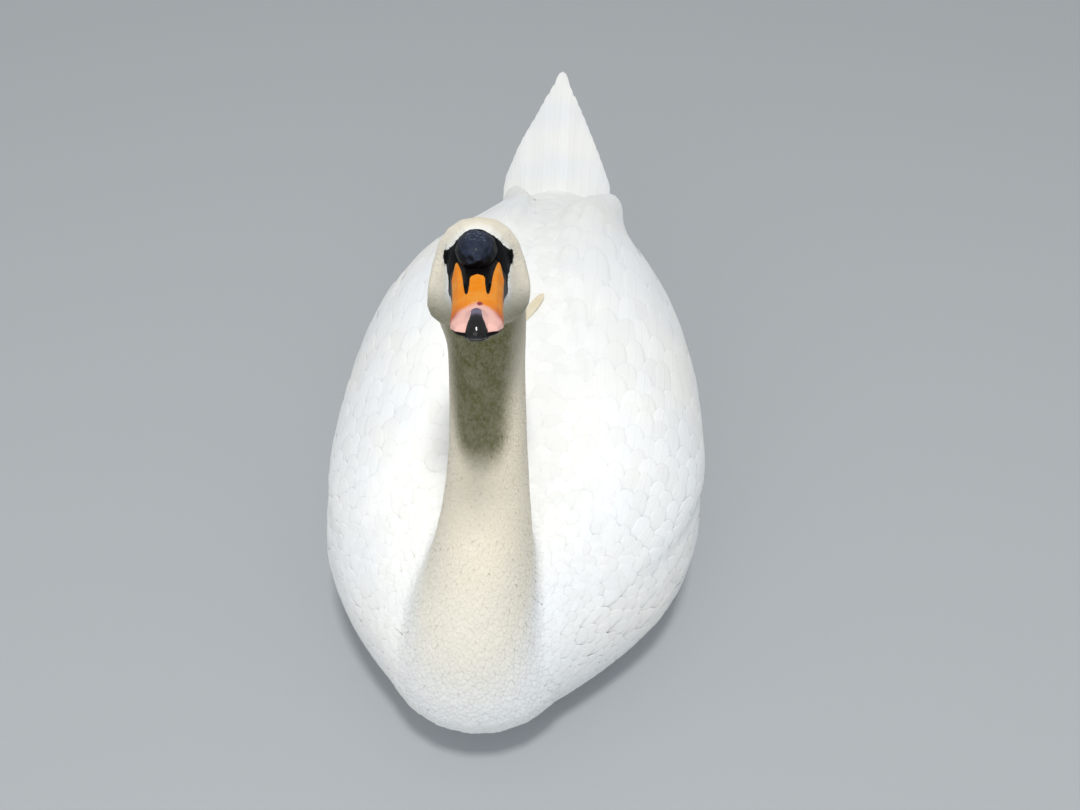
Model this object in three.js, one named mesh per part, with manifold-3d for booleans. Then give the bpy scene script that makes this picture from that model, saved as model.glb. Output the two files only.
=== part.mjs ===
// A mute swan afloat, life size, in millimetres.
// The bill points to -Y, the bird's left side is +X, and the belly rests on z = 0.
import * as THREE from 'three';
import { LoftGeometry } from 'three/addons/geometries/LoftGeometry.js';
import { mergeVertices } from 'three/addons/utils/BufferGeometryUtils.js';
import Module from 'manifold-3d';

const wasm = await Module();
wasm.setup();

// ---------- driving dimensions ----------
const gap = 0.3; // thin cut between neighbouring pieces
const keelDip = 2.2; // the belly is cut off this far up, which gives the resting flat

// Trunk with its coat: place along the body, sideways shift, half width, top, bottom, widest height.
const trunkStations = [
  { y: -338, shift: -6, half: 14, top: 128, bottom: 96, widest: 112 },
  { y: -331, shift: -6, half: 38, top: 150, bottom: 74, widest: 114 },
  { y: -316, shift: -6, half: 62, top: 172, bottom: 52, widest: 118 },
  { y: -293, shift: -5, half: 90, top: 200, bottom: 33, widest: 123 },
  { y: -256, shift: -2, half: 127, top: 234, bottom: 15, widest: 128 },
  { y: -200, shift: 5, half: 167, top: 270, bottom: 4, widest: 132 },
  { y: -130, shift: 11, half: 183, top: 297, bottom: 0, widest: 136 },
  { y: -40, shift: 8, half: 178, top: 314, bottom: 0, widest: 140 },
  { y: 40, shift: 3, half: 166, top: 317, bottom: 1, widest: 146 },
  { y: 110, shift: 2, half: 142, top: 304, bottom: 12, widest: 156 },
  { y: 180, shift: 4, half: 96, top: 276, bottom: 46, widest: 172 },
  { y: 235, shift: 6, half: 66, top: 250, bottom: 98, widest: 190 },
  { y: 275, shift: 7, half: 58, top: 233, bottom: 152, widest: 202 },
];
const trunkRoundness = 2.25; // exponent of the cross-section, 2 is an ellipse
const trunkSteps = 24;
const trunkSides = 26;
const trunkCuts = [-185, 165]; // front, middle, rump

// Neck: centreline from inside the breast to inside the head, with half widths across and fore-aft.
const neckStations = [
  { x: -2, y: -246, z: 60, across: 72, along: 62 },
  { x: -3, y: -256, z: 96, across: 92, along: 87 },
  { x: -4, y: -264, z: 136, across: 84, along: 84 },
  { x: -3, y: -269, z: 178, across: 65, along: 71 },
  { x: 1, y: -264, z: 226, across: 48.5, along: 56 },
  { x: 4, y: -247, z: 286, across: 38, along: 44 },
  { x: 3.5, y: -226, z: 350, across: 32, along: 36 },
  { x: 1, y: -208, z: 420, across: 30, along: 32.5 },
  { x: 1, y: -202, z: 478, across: 29.5, along: 31 },
  { x: 1, y: -210, z: 510, across: 29, along: 28 },
  { x: 0, y: -224, z: 534, across: 26, along: 21 },
];
const neckSteps = 20;
const neckSides = 20;
const neckCuts = [8, 12, 16]; // steps where the neck is parted into lengths

// Head: the eye line is the origin, f runs forward along the bill and u upward.
const headPlace = new THREE.Vector3(5, -255, 567);
const headPitch = 30; // degrees, the bill is lifted
const headTurn = 8.6; // degrees, the bill is turned to the bird's left
const headStations = [
  { f: -60, half: 9, top: -4, bottom: -20, widest: -11 },
  { f: -57, half: 17, top: 5, bottom: -29, widest: -12 },
  { f: -48, half: 26, top: 14, bottom: -40, widest: -16 },
  { f: -33, half: 32.5, top: 21, bottom: -49, widest: -23 },
  { f: -17, half: 34.5, top: 24, bottom: -53, widest: -27 },
  { f: -3, half: 28, top: 24, bottom: -50, widest: -27 },
  { f: 9, half: 23.6, top: 21, bottom: -43, widest: -24 },
  { f: 19, half: 21.4, top: 16, bottom: -35, widest: -20 },
  { f: 27, half: 19, top: 8, bottom: -29, widest: -17 },
];
const headRoundness = 2.35;
const headSteps = 12;
const headSides = 20;

// Bill: upper half from the feather line to the nail, then the lower half under it.
const billStations = [
  { f: 27.4, half: 19.4, top: 7, bottom: -24.5, widest: -20 },
  { f: 37, half: 18, top: 1, bottom: -24.5, widest: -20 },
  { f: 50, half: 16.8, top: -6, bottom: -25.2, widest: -21 },
  { f: 65, half: 16.2, top: -12, bottom: -27, widest: -23.6 },
  { f: 80, half: 16.5, top: -16.6, bottom: -28.8, widest: -26 },
  { f: 91, half: 16.7, top: -19.4, bottom: -30.2, widest: -27.8 },
  { f: 99, half: 15, top: -21.8, bottom: -31, widest: -28.6 },
  { f: 104.5, half: 10.5, top: -24.2, bottom: -32, widest: -29.6 },
  { f: 107, half: 4.5, top: -27, bottom: -32.4, widest: -30.6 },
];
const billSteps = 9;
const billSides = 16;
const mandibleStations = [
  { f: 27.4, half: 16, top: -25, bottom: -32, widest: -26.5 },
  { f: 44, half: 14.6, top: -25.4, bottom: -33, widest: -27 },
  { f: 67, half: 14, top: -27.8, bottom: -34.2, widest: -29 },
  { f: 87, half: 14.2, top: -30.2, bottom: -35.4, widest: -31.2 },
  { f: 98, half: 10.5, top: -31.4, bottom: -35.4, widest: -32.3 },
  { f: 102, half: 5, top: -32.4, bottom: -35, widest: -33.1 },
];
const mandibleSteps = 6;
const mandibleSides = 14;
const billRoundness = 2.4;
const nail = { f: 97, u: -24.8, long: 13.2, half: 7.6, high: 7, droop: 24 };
const knob = { f: 27, u: 8.6, long: 15.5, half: 12.6, high: 13, droop: 24 };
const eye = { radius: 6, side: 19.2, f: 1, u: 0 };

// Folded wing: how far its lobe stands off the trunk, its depth, and the angles of its two edges.
const wingStations = [
  { y: -224, lift: 3.2, deep: 9, low: 27, high: 48 },
  { y: -190, lift: 5.5, deep: 14, low: 22, high: 60 },
  { y: -130, lift: 8.5, deep: 18, low: 18, high: 69 },
  { y: -40, lift: 11, deep: 20, low: 13, high: 77 },
  { y: 40, lift: 12, deep: 22, low: 9, high: 81 },
  { y: 110, lift: 13, deep: 24, low: 6, high: 82 },
  { y: 180, lift: 17, deep: 29, low: 4, high: 80 },
  { y: 230, lift: 20, deep: 26, low: 4, high: 70 },
  { y: 260, lift: 21, deep: 18, low: 7, high: 54 },
  { y: 284, lift: 20, deep: 6, low: 12, high: 36 },
];
const wingSteps = 16;
const wingArcSteps = 7;
const wingCuts = [-40, 150]; // shoulder and coverts, secondaries, primaries
const wingEdgeRound = 2.6; // how far the lobe's edges roll under

// Tail: a wedge of long feathers, thick at the root.
const tailStations = [
  { y: 275.3, shift: 6, half: 62, top: 232, bottom: 154 },
  { y: 300, shift: 4, half: 60, top: 231, bottom: 171 },
  { y: 340, shift: 0, half: 54, top: 231, bottom: 188 },
  { y: 390, shift: -5, half: 42, top: 233, bottom: 206 },
  { y: 440, shift: -8, half: 26, top: 236, bottom: 221 },
  { y: 485, shift: -12, half: 13, top: 239, bottom: 232 },
  { y: 508, shift: -14, half: 3, top: 241, bottom: 237.5 },
];
const tailDroop = 7; // the edges hang below the middle
const tailSides = 18;
const tailSteps = 9;

// Feet folded under the belly, soles on the floor.
const foot = {
  side: 74, ball: 40, splay: 3,
  toes: [
    { turn: 17, long: 112, claw: 10 },
    { turn: 0, long: 142, claw: 11 },
    { turn: -15, long: 122, claw: 10 },
  ],
  toeRadius: 5.4, tipRadius: 3.4, clawRadius: 2.6, clawTip: 1.1,
  webThick: 2.4, webReach: 0.86, webDrawn: 0.2, webRoot: 6,
};
const shank = { long: 104, spread: 5, ballRadius: 7.2, hockRadius: 9.6, hockHeight: 14, clear: 1.5, sides: 10 };
const hindToe = { long: 20, radius: 3.4, tip: 2, back: 22, inset: 3, sweep: 4 };
const pocket = { room: 5, heel: 12, round: 34, high: 12, below: 10, slack: 1.6, clawRoom: 4 };

// ---------- colours and finishes ----------
const finish = (color, roughness) => new THREE.MeshStandardMaterial({ color, roughness, metalness: 0 });
const colours = {
  white: 0xf1f2ee, cream: 0xe4e0d0, crown: 0xdcd8c4, orange: 0xe08a34, black: 0x1c2026,
  eye: 0x17110d, foot: 0x33343a,
};

// ---------- helpers ----------
const toSolid = (geometry) => {
  const bare = new THREE.BufferGeometry();
  bare.setAttribute('position', geometry.attributes.position);
  bare.setIndex(geometry.index);
  const merged = mergeVertices(bare, 1e-4);
  return new wasm.Manifold(new wasm.Mesh({
    numProp: 3,
    vertProperties: new Float32Array(merged.attributes.position.array),
    triVerts: new Uint32Array(merged.index.array),
  }));
};

const toGeometry = (solid) => {
  const { vertProperties, triVerts } = solid.getMesh();
  const geometry = new THREE.BufferGeometry();
  geometry.setAttribute('position', new THREE.BufferAttribute(new Float32Array(vertProperties), 3));
  geometry.setIndex(new THREE.BufferAttribute(new Uint32Array(triVerts), 1));
  return geometry;
};

const loft = (sections) => toSolid(new LoftGeometry(sections, {
  closed: true, capStart: true, capEnd: true,
}));

// Smooth curve through a table of stations, read at any place along one of its columns.
const through = (stations, key) => {
  const columns = Object.keys(stations[0]);
  const places = stations.map((station) => station[key]);
  const values = stations.flatMap((station) => columns.map((column) => station[column]));
  const curve = new THREE.CubicInterpolant(places, values, columns.length);
  return (place) => {
    const row = curve.evaluate(place);
    return Object.fromEntries(columns.map((column, index) => [column, row[index]]));
  };
};

// Places from start to end, closer together towards the ends.
const spread = (start, end, steps, ease) => Array.from({ length: steps + 1 }, (_, index) => {
  const even = index / steps;
  const eased = (1 - Math.cos(Math.PI * even)) / 2;
  return THREE.MathUtils.lerp(start, end, THREE.MathUtils.lerp(even, eased, ease));
});

const power = (value, roundness) => Math.sign(value) * Math.abs(value) ** (2 / roundness);

// One point of a body cross-section, at an angle up from the side; grow moves it outward.
const bodyPoint = (at, angle, roundness, grow = 0) => {
  const upper = Math.sin(angle) > 0;
  const height = (upper ? at.top - at.widest : at.widest - at.bottom) + grow;
  return [
    (at.half + grow) * power(Math.cos(angle), roundness),
    at.widest + height * power(Math.sin(angle), roundness),
  ];
};

// ---------- trunk ----------
const trunkAt = through(trunkStations, 'y');

const trunkLoft = (grow) => {
  const first = trunkStations[0].y - grow;
  const last = trunkStations.at(-1).y + grow;
  const sections = spread(first, last, trunkSteps, 0.75).map((y) => {
    const at = trunkAt(THREE.MathUtils.clamp(y, trunkStations[0].y, trunkStations.at(-1).y));
    return Array.from({ length: trunkSides }, (_, index) => {
      const angle = (index / trunkSides) * Math.PI * 2;
      const [x, z] = bodyPoint(at, angle, trunkRoundness, grow);
      return new THREE.Vector3(at.shift - x, y, z - keelDip);
    });
  });
  return loft(sections);
};

// ---------- neck ----------
const neckCurve = new THREE.CatmullRomCurve3(
  neckStations.map(({ x, y, z }) => new THREE.Vector3(x, y, z)), false, 'centripetal',
);
const neckSizeAt = through(
  neckStations.map(({ across, along }, index) => ({ step: index, across, along })), 'step',
);

const neckRing = (step, slide = 0) => {
  const t = step / neckSteps;
  const centre = neckCurve.getPoint(t);
  const ahead = neckCurve.getTangent(t);
  const side = new THREE.Vector3(-1, 0, 0);
  side.addScaledVector(ahead, -side.dot(ahead)).normalize();
  const rear = new THREE.Vector3().crossVectors(ahead, side);
  centre.addScaledVector(ahead, slide);
  const { across, along } = neckSizeAt(t * (neckStations.length - 1));
  return Array.from({ length: neckSides }, (_, index) => {
    const angle = (index / neckSides) * Math.PI * 2;
    return centre.clone()
      .addScaledVector(side, across * Math.cos(angle))
      .addScaledVector(rear, along * Math.sin(angle));
  });
};

const neckLength = (from, to) => {
  const rings = [neckRing(from, from > 0 ? gap : 0)];
  for (let step = from + 1; step <= to; step += 1) rings.push(neckRing(step));
  return loft(rings);
};

// ---------- head ----------
// A closed form along the head's own axis, in the head's frame (x left, -y forward, z up).
const headForm = (stations, steps, sides, roundness, grow = 0, ease = 0.6) => {
  const at = through(stations, 'f');
  const first = stations[0].f;
  const last = stations.at(-1).f;
  return loft(spread(first, last, steps, ease).map((f, row, all) => {
    const end = row === 0 ? grow : row === all.length - 1 ? -grow : 0;
    return Array.from({ length: sides }, (_, index) => {
      const angle = (index / sides) * Math.PI * 2;
      const [x, z] = bodyPoint(at(f), angle, roundness, grow);
      return new THREE.Vector3(x, end - f, z);
    });
  }));
};

// An egg-like lump: sphere stretched, drooped and placed in the head's frame.
const lump = ({ f, u, long, half, high, droop }, grow = 0) => {
  const ball = new THREE.SphereGeometry(1, 12, 8);
  ball.scale(half + grow, long + grow, high + grow);
  ball.rotateX(THREE.MathUtils.degToRad(droop));
  ball.translate(0, -f, u);
  return toSolid(ball);
};

const eyeBall = (side, grow = 0) => {
  const ball = new THREE.SphereGeometry(eye.radius + grow, 12, 7);
  ball.rotateZ(Math.PI / 2);
  ball.translate(side * eye.side, -eye.f, eye.u);
  return toSolid(ball);
};

// ---------- wing ----------
const wingAt = through(wingStations, 'y');

const wingLoft = (side) => {
  const ys = spread(wingStations[0].y, wingStations.at(-1).y, wingSteps, 0.5);
  const sections = ys.map((y) => {
    const lobe = wingAt(y);
    const at = trunkAt(Math.min(y, trunkStations.at(-1).y));
    const place = (share, depth) => {
      const angle = THREE.MathUtils.degToRad(THREE.MathUtils.lerp(lobe.low, lobe.high, share));
      const [x, z] = bodyPoint(at, angle, trunkRoundness, lobe.lift - depth);
      return new THREE.Vector3(at.shift + side * x, y, z - keelDip);
    };
    const outer = [];
    const inner = [];
    for (let step = 0; step <= wingArcSteps; step += 1) {
      const share = step / wingArcSteps;
      const roll = Math.sqrt(1 - (2 * share - 1) ** 4);
      outer.push(place(share, Math.min(wingEdgeRound, lobe.deep / 3) * (1 - roll)));
      inner.unshift(place(share, lobe.deep));
    }
    const ring = [...outer, ...inner];
    return side > 0 ? ring.reverse() : ring;
  });
  return loft(sections);
};

// ---------- tail ----------
const tailAt = through(tailStations, 'y');

const tailLoft = () => {
  const ys = spread(tailStations[0].y, tailStations.at(-1).y, tailSteps, 0.3);
  return loft(ys.map((y) => {
    const at = tailAt(y);
    const middle = (at.top + at.bottom) / 2;
    return Array.from({ length: tailSides }, (_, index) => {
      const angle = (index / tailSides) * Math.PI * 2;
      const across = Math.cos(angle);
      const droop = tailDroop * (at.half / tailStations[0].half) * across * across;
      const rise = ((at.top - at.bottom) / 2) * Math.sin(angle);
      return new THREE.Vector3(at.shift - at.half * across, y, middle + rise - droop);
    });
  }));
};

// ---------- legs ----------
const roundEnd = 0.8; // how far a rod's end goes past its point, in radii

// Round-ended rod between two points, flattened where it would pass below the floor.
const rod = (from, to, radiusFrom, radiusTo, sides = 6, floor = 0) => {
  const ahead = new THREE.Vector3().subVectors(to, from);
  const long = ahead.length();
  ahead.normalize();
  const side = new THREE.Vector3(0, 0, 1).cross(ahead).normalize();
  const up = new THREE.Vector3().crossVectors(ahead, side);
  const ends = [[-roundEnd, 0.55], [0, 1]];
  const rows = [
    ...ends.map(([reach, size]) => [reach * radiusFrom, size * radiusFrom]),
    ...ends.toReversed().map(([reach, size]) => [long - reach * radiusTo, size * radiusTo]),
  ];
  return loft(rows.map(([reach, radius]) => Array.from({ length: sides }, (_, index) => {
    const angle = (index / sides) * Math.PI * 2;
    const point = from.clone().addScaledVector(ahead, reach);
    point.addScaledVector(side, radius * Math.cos(angle)).addScaledVector(up, radius * Math.sin(angle));
    return point.setZ(Math.max(point.z, floor));
  })));
};

const toeEnd = (side, toe, share = 1) => {
  const angle = THREE.MathUtils.degToRad(side * (toe.turn + foot.splay));
  return new THREE.Vector3(
    side * foot.side + Math.sin(angle) * toe.long * share,
    foot.ball - Math.cos(angle) * toe.long * share,
    0,
  );
};

// The webs: a fan between the toes, with its front edge drawn in.
const webSolid = (side) => {
  const outline = new THREE.Shape();
  outline.moveTo(side * foot.side - foot.webRoot, foot.ball);
  const tips = foot.toes.map((toe) => toeEnd(side, toe, foot.webReach));
  if (side > 0) tips.reverse();
  outline.lineTo(tips[0].x, tips[0].y);
  tips.slice(1).forEach((tip, index) => {
    const before = tips[index];
    const drawn = foot.webDrawn * tip.distanceTo(before);
    outline.quadraticCurveTo((tip.x + before.x) / 2, (tip.y + before.y) / 2 + drawn, tip.x, tip.y);
  });
  outline.lineTo(side * foot.side + foot.webRoot, foot.ball);
  return toSolid(new THREE.ExtrudeGeometry(outline, {
    depth: foot.webThick, bevelEnabled: false, curveSegments: 3,
  }));
};

const footSolid = (side) => foot.toes.reduce((solid, toe) => {
  const root = toeEnd(side, toe, 0).setZ(foot.toeRadius);
  const tip = toeEnd(side, toe).setZ(foot.clawRadius);
  const claw = toeEnd(side, toe, 1 + toe.claw / toe.long).setZ(foot.clawTip);
  return solid
    .add(rod(root, tip, foot.toeRadius, foot.tipRadius))
    .add(rod(tip, claw, foot.clawRadius, foot.clawTip, 5));
}, webSolid(side));

// The shank lies back from the ball of the foot to the hock, with the short hind toe beside it.
const shankEnds = (side) => [
  new THREE.Vector3(
    side * foot.side, foot.ball + roundEnd * (foot.toeRadius + shank.ballRadius) + shank.clear, shank.ballRadius,
  ),
  new THREE.Vector3(side * (foot.side + shank.spread), foot.ball + shank.long, shank.hockHeight),
];

const hindToeEnds = (side) => [
  new THREE.Vector3(side * (foot.side - hindToe.inset), foot.ball + hindToe.back, hindToe.radius),
  new THREE.Vector3(
    side * (foot.side - hindToe.inset - hindToe.long), foot.ball + hindToe.back + hindToe.sweep, hindToe.radius,
  ),
];

const shankSolid = (side) => rod(...shankEnds(side), shank.ballRadius, shank.hockRadius, shank.sides)
  .add(rod(...hindToeEnds(side), hindToe.radius, hindToe.tip));

// Room for a folded foot in the coat of the belly.
const footPocket = (side) => {
  const tips = foot.toes.map((toe) => toeEnd(side, toe, 1 + (toe.claw + pocket.clawRoom) / toe.long));
  const low = Math.min(...tips.map(({ x }) => x)) - pocket.room;
  const high = Math.max(...tips.map(({ x }) => x)) + pocket.room;
  const front = Math.min(...tips.map(({ y }) => y));
  const middle = side * foot.side;
  const back = foot.ball + foot.toeRadius * 2;
  const sole = new THREE.Shape();
  sole.moveTo(middle - pocket.heel, back);
  sole.lineTo(low, front + pocket.round);
  sole.quadraticCurveTo(low, front, middle, front);
  sole.quadraticCurveTo(high, front, high, front + pocket.round);
  sole.lineTo(middle + pocket.heel, back);
  const room = new THREE.ExtrudeGeometry(sole, {
    depth: pocket.high + pocket.below, bevelEnabled: false, curveSegments: 3,
  });
  room.translate(0, 0, -pocket.below);
  const trenches = [
    [shankEnds(side), shank.ballRadius, shank.hockRadius],
    [hindToeEnds(side), hindToe.radius, hindToe.radius],
  ];
  return trenches.reduce((solid, [ends, start, end]) => {
    const floor = ends.map((point) => point.clone().setZ(0));
    return solid
      .add(rod(...ends, start + pocket.slack, end + pocket.slack, shank.sides, -pocket.below))
      .add(rod(...floor, start + pocket.slack, end + pocket.slack, shank.sides, -pocket.below));
  }, toSolid(room));
};

// ---------- assembly ----------
const swan = new THREE.Group();
const headFrame = new THREE.Group();
headFrame.position.copy(headPlace);
headFrame.rotation.set(
  THREE.MathUtils.degToRad(-headPitch), 0, THREE.MathUtils.degToRad(headTurn), 'ZYX',
);
headFrame.updateMatrix();
swan.add(headFrame);

const place = (parent, name, solid, color, roughness) => {
  const mesh = new THREE.Mesh(toGeometry(solid), finish(color, roughness));
  mesh.name = name;
  parent.add(mesh);
};

const along = [0, 1, 0];
const part = (solid, from, to) => {
  let piece = solid;
  if (from !== null) piece = piece.trimByPlane(along, from + gap);
  if (to !== null) piece = piece.trimByPlane([0, -1, 0], -to);
  return piece;
};

const sides = [['left', 1], ['right', -1]];

// head and bill, in the head's frame
const headGrown = headForm(headStations, headSteps, headSides, headRoundness, gap);
const billUpper = headForm(billStations, billSteps, billSides, billRoundness);
const billUpperGrown = headForm(billStations, billSteps, billSides, billRoundness, gap);
const billLower = headForm(mandibleStations, mandibleSteps, mandibleSides, billRoundness);
let headSolid = headForm(headStations, headSteps, headSides, headRoundness).subtract(lump(knob, gap));
sides.forEach(([name, side]) => {
  headSolid = headSolid.subtract(eyeBall(side, gap));
  place(headFrame, `eye_${name}`, eyeBall(side), colours.eye, 0.08);
});
place(headFrame, 'head', headSolid, colours.crown, 0.85);
place(headFrame, 'knob', lump(knob), colours.black, 0.35);
const billOpen = billUpper.subtract(lump(knob, gap)).subtract(lump(nail, gap));
place(headFrame, 'bill_upper', billOpen, colours.orange, 0.35);
place(headFrame, 'bill_nail', lump(nail), colours.black, 0.25);
place(headFrame, 'bill_lower', billLower.subtract(billUpperGrown).subtract(lump(nail, gap)), colours.black, 0.4);

// trunk
let trunkWhole = trunkLoft(0).trimByPlane([0, 0, 1], 0);
const trunkGrown = trunkLoft(gap);
sides.forEach(([, side]) => {
  trunkWhole = trunkWhole.subtract(footPocket(side));
});
const [frontEnd, rumpStart] = trunkCuts;
place(swan, 'trunk_front', part(trunkWhole, null, frontEnd), colours.white, 0.85);
place(swan, 'trunk_middle', part(trunkWhole, frontEnd, rumpStart), colours.white, 0.85);
place(swan, 'rump', part(trunkWhole, rumpStart, null), colours.white, 0.85);

// the breast and the neck lengths above it
const neckNames = ['breast', 'neck_lower', 'neck_middle', 'neck_upper'];
const neckEnds = [0, ...neckCuts, neckSteps];
const headInBody = headGrown.transform(headFrame.matrix.elements);
neckNames.forEach((name, index) => {
  const length = neckLength(neckEnds[index], neckEnds[index + 1]);
  const free = length.subtract(trunkGrown).subtract(headInBody);
  place(swan, name, free, colours.cream, 0.85);
});

// tail
place(swan, 'tail', tailLoft(), colours.white, 0.8);

// wings
const wingNames = ['coverts', 'secondaries', 'primaries'];
sides.forEach(([name, side]) => {
  const whole = wingLoft(side).subtract(trunkGrown);
  wingNames.forEach((layer, index) => {
    const from = index > 0 ? wingCuts[index - 1] : null;
    const to = index < wingCuts.length ? wingCuts[index] : null;
    place(swan, `wing_${name}_${layer}`, part(whole, from, to), colours.white, 0.8);
  });
});

// feet
sides.forEach(([name, side]) => {
  place(swan, `foot_${name}`, footSolid(side), colours.foot, 0.5);
  place(swan, `shank_${name}`, shankSolid(side), colours.foot, 0.5);
});

// The middle of the outline stands over the origin.
const middle = new THREE.Box3().setFromObject(swan, true).getCenter(new THREE.Vector3());
swan.position.set(-middle.x, -middle.y, 0);

export default swan;
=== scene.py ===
import math

import bpy
import numpy as np
from mathutils import Matrix, Vector
from mathutils.bvhtree import BVHTree
from mathutils.kdtree import KDTree


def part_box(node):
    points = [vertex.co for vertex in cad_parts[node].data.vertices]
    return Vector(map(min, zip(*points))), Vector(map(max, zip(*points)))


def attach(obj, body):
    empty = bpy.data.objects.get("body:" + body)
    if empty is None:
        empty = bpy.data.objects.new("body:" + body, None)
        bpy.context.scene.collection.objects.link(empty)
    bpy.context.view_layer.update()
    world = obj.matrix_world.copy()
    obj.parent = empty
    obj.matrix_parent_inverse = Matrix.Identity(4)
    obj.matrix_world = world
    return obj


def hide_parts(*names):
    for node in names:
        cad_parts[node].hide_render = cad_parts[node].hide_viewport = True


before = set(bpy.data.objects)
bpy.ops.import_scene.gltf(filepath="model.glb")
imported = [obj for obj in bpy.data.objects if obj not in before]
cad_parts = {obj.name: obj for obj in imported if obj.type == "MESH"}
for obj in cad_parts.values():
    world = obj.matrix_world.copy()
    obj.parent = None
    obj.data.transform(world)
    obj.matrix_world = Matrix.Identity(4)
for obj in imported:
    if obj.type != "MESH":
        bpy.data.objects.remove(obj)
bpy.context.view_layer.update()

mm = 0.001
dice = np.random.default_rng(11)


# where things are: bird millimetres to the row's metres, and the head's own frame
bird = {
    "eyesMiddle": (5.13, -255.86, 567.5),  # between the eyes, before the outline was centred
    "headPitch": 30,  # degrees
    "eyesAhead": 1.0,  # mm forward of the head's origin
}


def middleOf(node):
    low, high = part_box(node)
    return (low + high) / 2


eyeCentres = {"left": middleOf("eye_left"), "right": middleOf("eye_right")}
eyesMiddle = (eyeCentres["left"] + eyeCentres["right"]) / 2
birdShift = eyesMiddle - Vector(bird["eyesMiddle"]) * mm


def fromBird(x, y, z):
    return Vector((x, y, z)) * mm + birdShift


def inBird(points):  # row metres to bird millimetres
    return (np.asarray(points) - np.array(birdShift)) / mm


leftWay = (eyeCentres["left"] - eyeCentres["right"]).normalized()
levelWay = Vector((0, 0, 1)).cross(leftWay) * -1
pitch = math.radians(bird["headPitch"])
billWay = (levelWay * math.cos(pitch) + Vector((0, 0, 1)) * math.sin(pitch)).normalized()
crownWay = leftWay.cross(billWay).normalized()
if crownWay.z < 0:
    crownWay = -crownWay
headOrigin = eyesMiddle - billWay * bird["eyesAhead"] * mm
headAxes = np.array([leftWay, billWay, crownWay])  # rows: left, forward along the bill, up


def toHead(points):  # metres in the row's frame to millimetres left, forward, up of the eye line
    return (np.asarray(points) - np.array(headOrigin)) @ headAxes.T / mm


def fromHead(places):
    return np.asarray(places) * mm @ headAxes + np.array(headOrigin)


def deselectAll():
    if bpy.context.object and bpy.context.object.mode != "OBJECT":
        bpy.ops.object.mode_set(mode="OBJECT")
    bpy.ops.object.select_all(action="DESELECT")


def pick(*pieces):  # selects these alone, the first of them active
    deselectAll()
    for piece in pieces:
        piece.select_set(True)
    bpy.context.view_layer.objects.active = pieces[0]


def addObject(name, data):
    made = bpy.data.objects.new(name, data)
    bpy.context.scene.collection.objects.link(made)
    return made


def shadeSmooth(piece):
    pick(piece)
    bpy.ops.object.shade_smooth()


def editAll(operator, **settings):  # one step in edit mode on all of the active mesh
    bpy.ops.object.mode_set(mode="EDIT")
    bpy.ops.mesh.select_all(action="SELECT")
    operator(**settings)
    bpy.ops.object.mode_set(mode="OBJECT")


def addModifier(piece, kind, **settings):
    modifier = piece.modifiers.new(kind.title(), kind)
    for key, value in settings.items():
        setattr(modifier, key, value)
    pick(piece)
    bpy.ops.object.modifier_apply(modifier=modifier.name)


def relax(piece, rounds, **settings):
    addModifier(piece, "SMOOTH", factor=0.5, iterations=rounds, **settings)


def pointsOf(piece):
    points = np.empty(len(piece.data.vertices) * 3)
    piece.data.vertices.foreach_get("co", points)
    return points.reshape(-1, 3)


def normalsOf(piece):
    normals = np.empty(len(piece.data.vertices) * 3)
    piece.data.vertex_normals.foreach_get("vector", normals)
    return normals.reshape(-1, 3)


def setPoints(piece, points):
    piece.data.vertices.foreach_set("co", np.asarray(points, np.float32).ravel())
    piece.data.update()


def setValues(piece, name, values):
    layer = piece.data.attributes.new(name, "FLOAT", "POINT")
    layer.data.foreach_set("value", np.asarray(values, np.float32))


def setGroup(piece, name, weights):  # vertex group from an array, in steps of a twentieth
    group = piece.vertex_groups.new(name=name)
    steps = np.round(np.clip(weights, 0, 1) * 20).astype(int)
    for step in np.unique(steps):
        if step:
            group.add(np.flatnonzero(steps == step).tolist(), step / 20, "REPLACE")


def ramp(low, high, values):  # smooth step from 0 at low to 1 at high
    part = np.clip((values - low) / (high - low), 0, 1)
    return part * part * (3 - 2 * part)


def unit(ways):
    return ways / (np.linalg.norm(ways, axis=-1, keepdims=True) + 1e-12)


def flattened(ways, normals):  # ways laid into the surface, of unit length
    return unit(ways - (ways * normals).sum(1)[:, None] * normals)


def copyOf(name, nodes):  # one merged mesh from copies of CAD nodes
    pieces = [addObject(name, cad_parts[node].data.copy()) for node in nodes]
    pick(*pieces)
    if len(pieces) > 1:
        bpy.ops.object.join()
    joined = bpy.context.object
    joined.name = name
    joined.data.materials.clear()
    editAll(bpy.ops.mesh.remove_doubles, threshold=0.01 * mm)
    return joined


def soften(piece, voxel, rounds, swell=0.25 * mm):  # closes the thin cuts and rounds the facets
    addModifier(piece, "DISPLACE", strength=swell, mid_level=0)
    addModifier(piece, "REMESH", mode="VOXEL", voxel_size=voxel)
    relax(piece, rounds)
    return piece


def finishPiece(piece, material, nodes=()):  # its material and its body, and hides the CAD nodes that it stands for
    piece.data.materials.clear()
    piece.data.materials.append(material)
    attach(piece, "root")
    if nodes:
        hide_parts(*nodes)
    return piece


class Link:  # a socket that takes part in Python sums
    def __init__(self, shader, socket):
        self.shader, self.socket = shader, socket

    def math(self, operation, other=None, swap=False):
        values = [self, other] if other is not None else [self]
        if swap:
            values.reverse()
        return self.shader.node("ShaderNodeMath", {"operation": operation}, dict(enumerate(values)))

    def __add__(self, other):
        return self.math("ADD", other)

    def __sub__(self, other):
        return self.math("SUBTRACT", other)

    def __mul__(self, other):
        return self.math("MULTIPLY", other)

    def __rsub__(self, other):
        return self.math("SUBTRACT", other, swap=True)

    __radd__ = __add__
    __rmul__ = __mul__

    def size(self):
        return self.math("ABSOLUTE")

    def step(self, low, high):  # smooth 0 to 1 between the two values
        settings = {"interpolation_type": "SMOOTHSTEP"}
        return self.shader.node("ShaderNodeMapRange", settings, {0: self, 1: low, 2: high})


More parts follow.
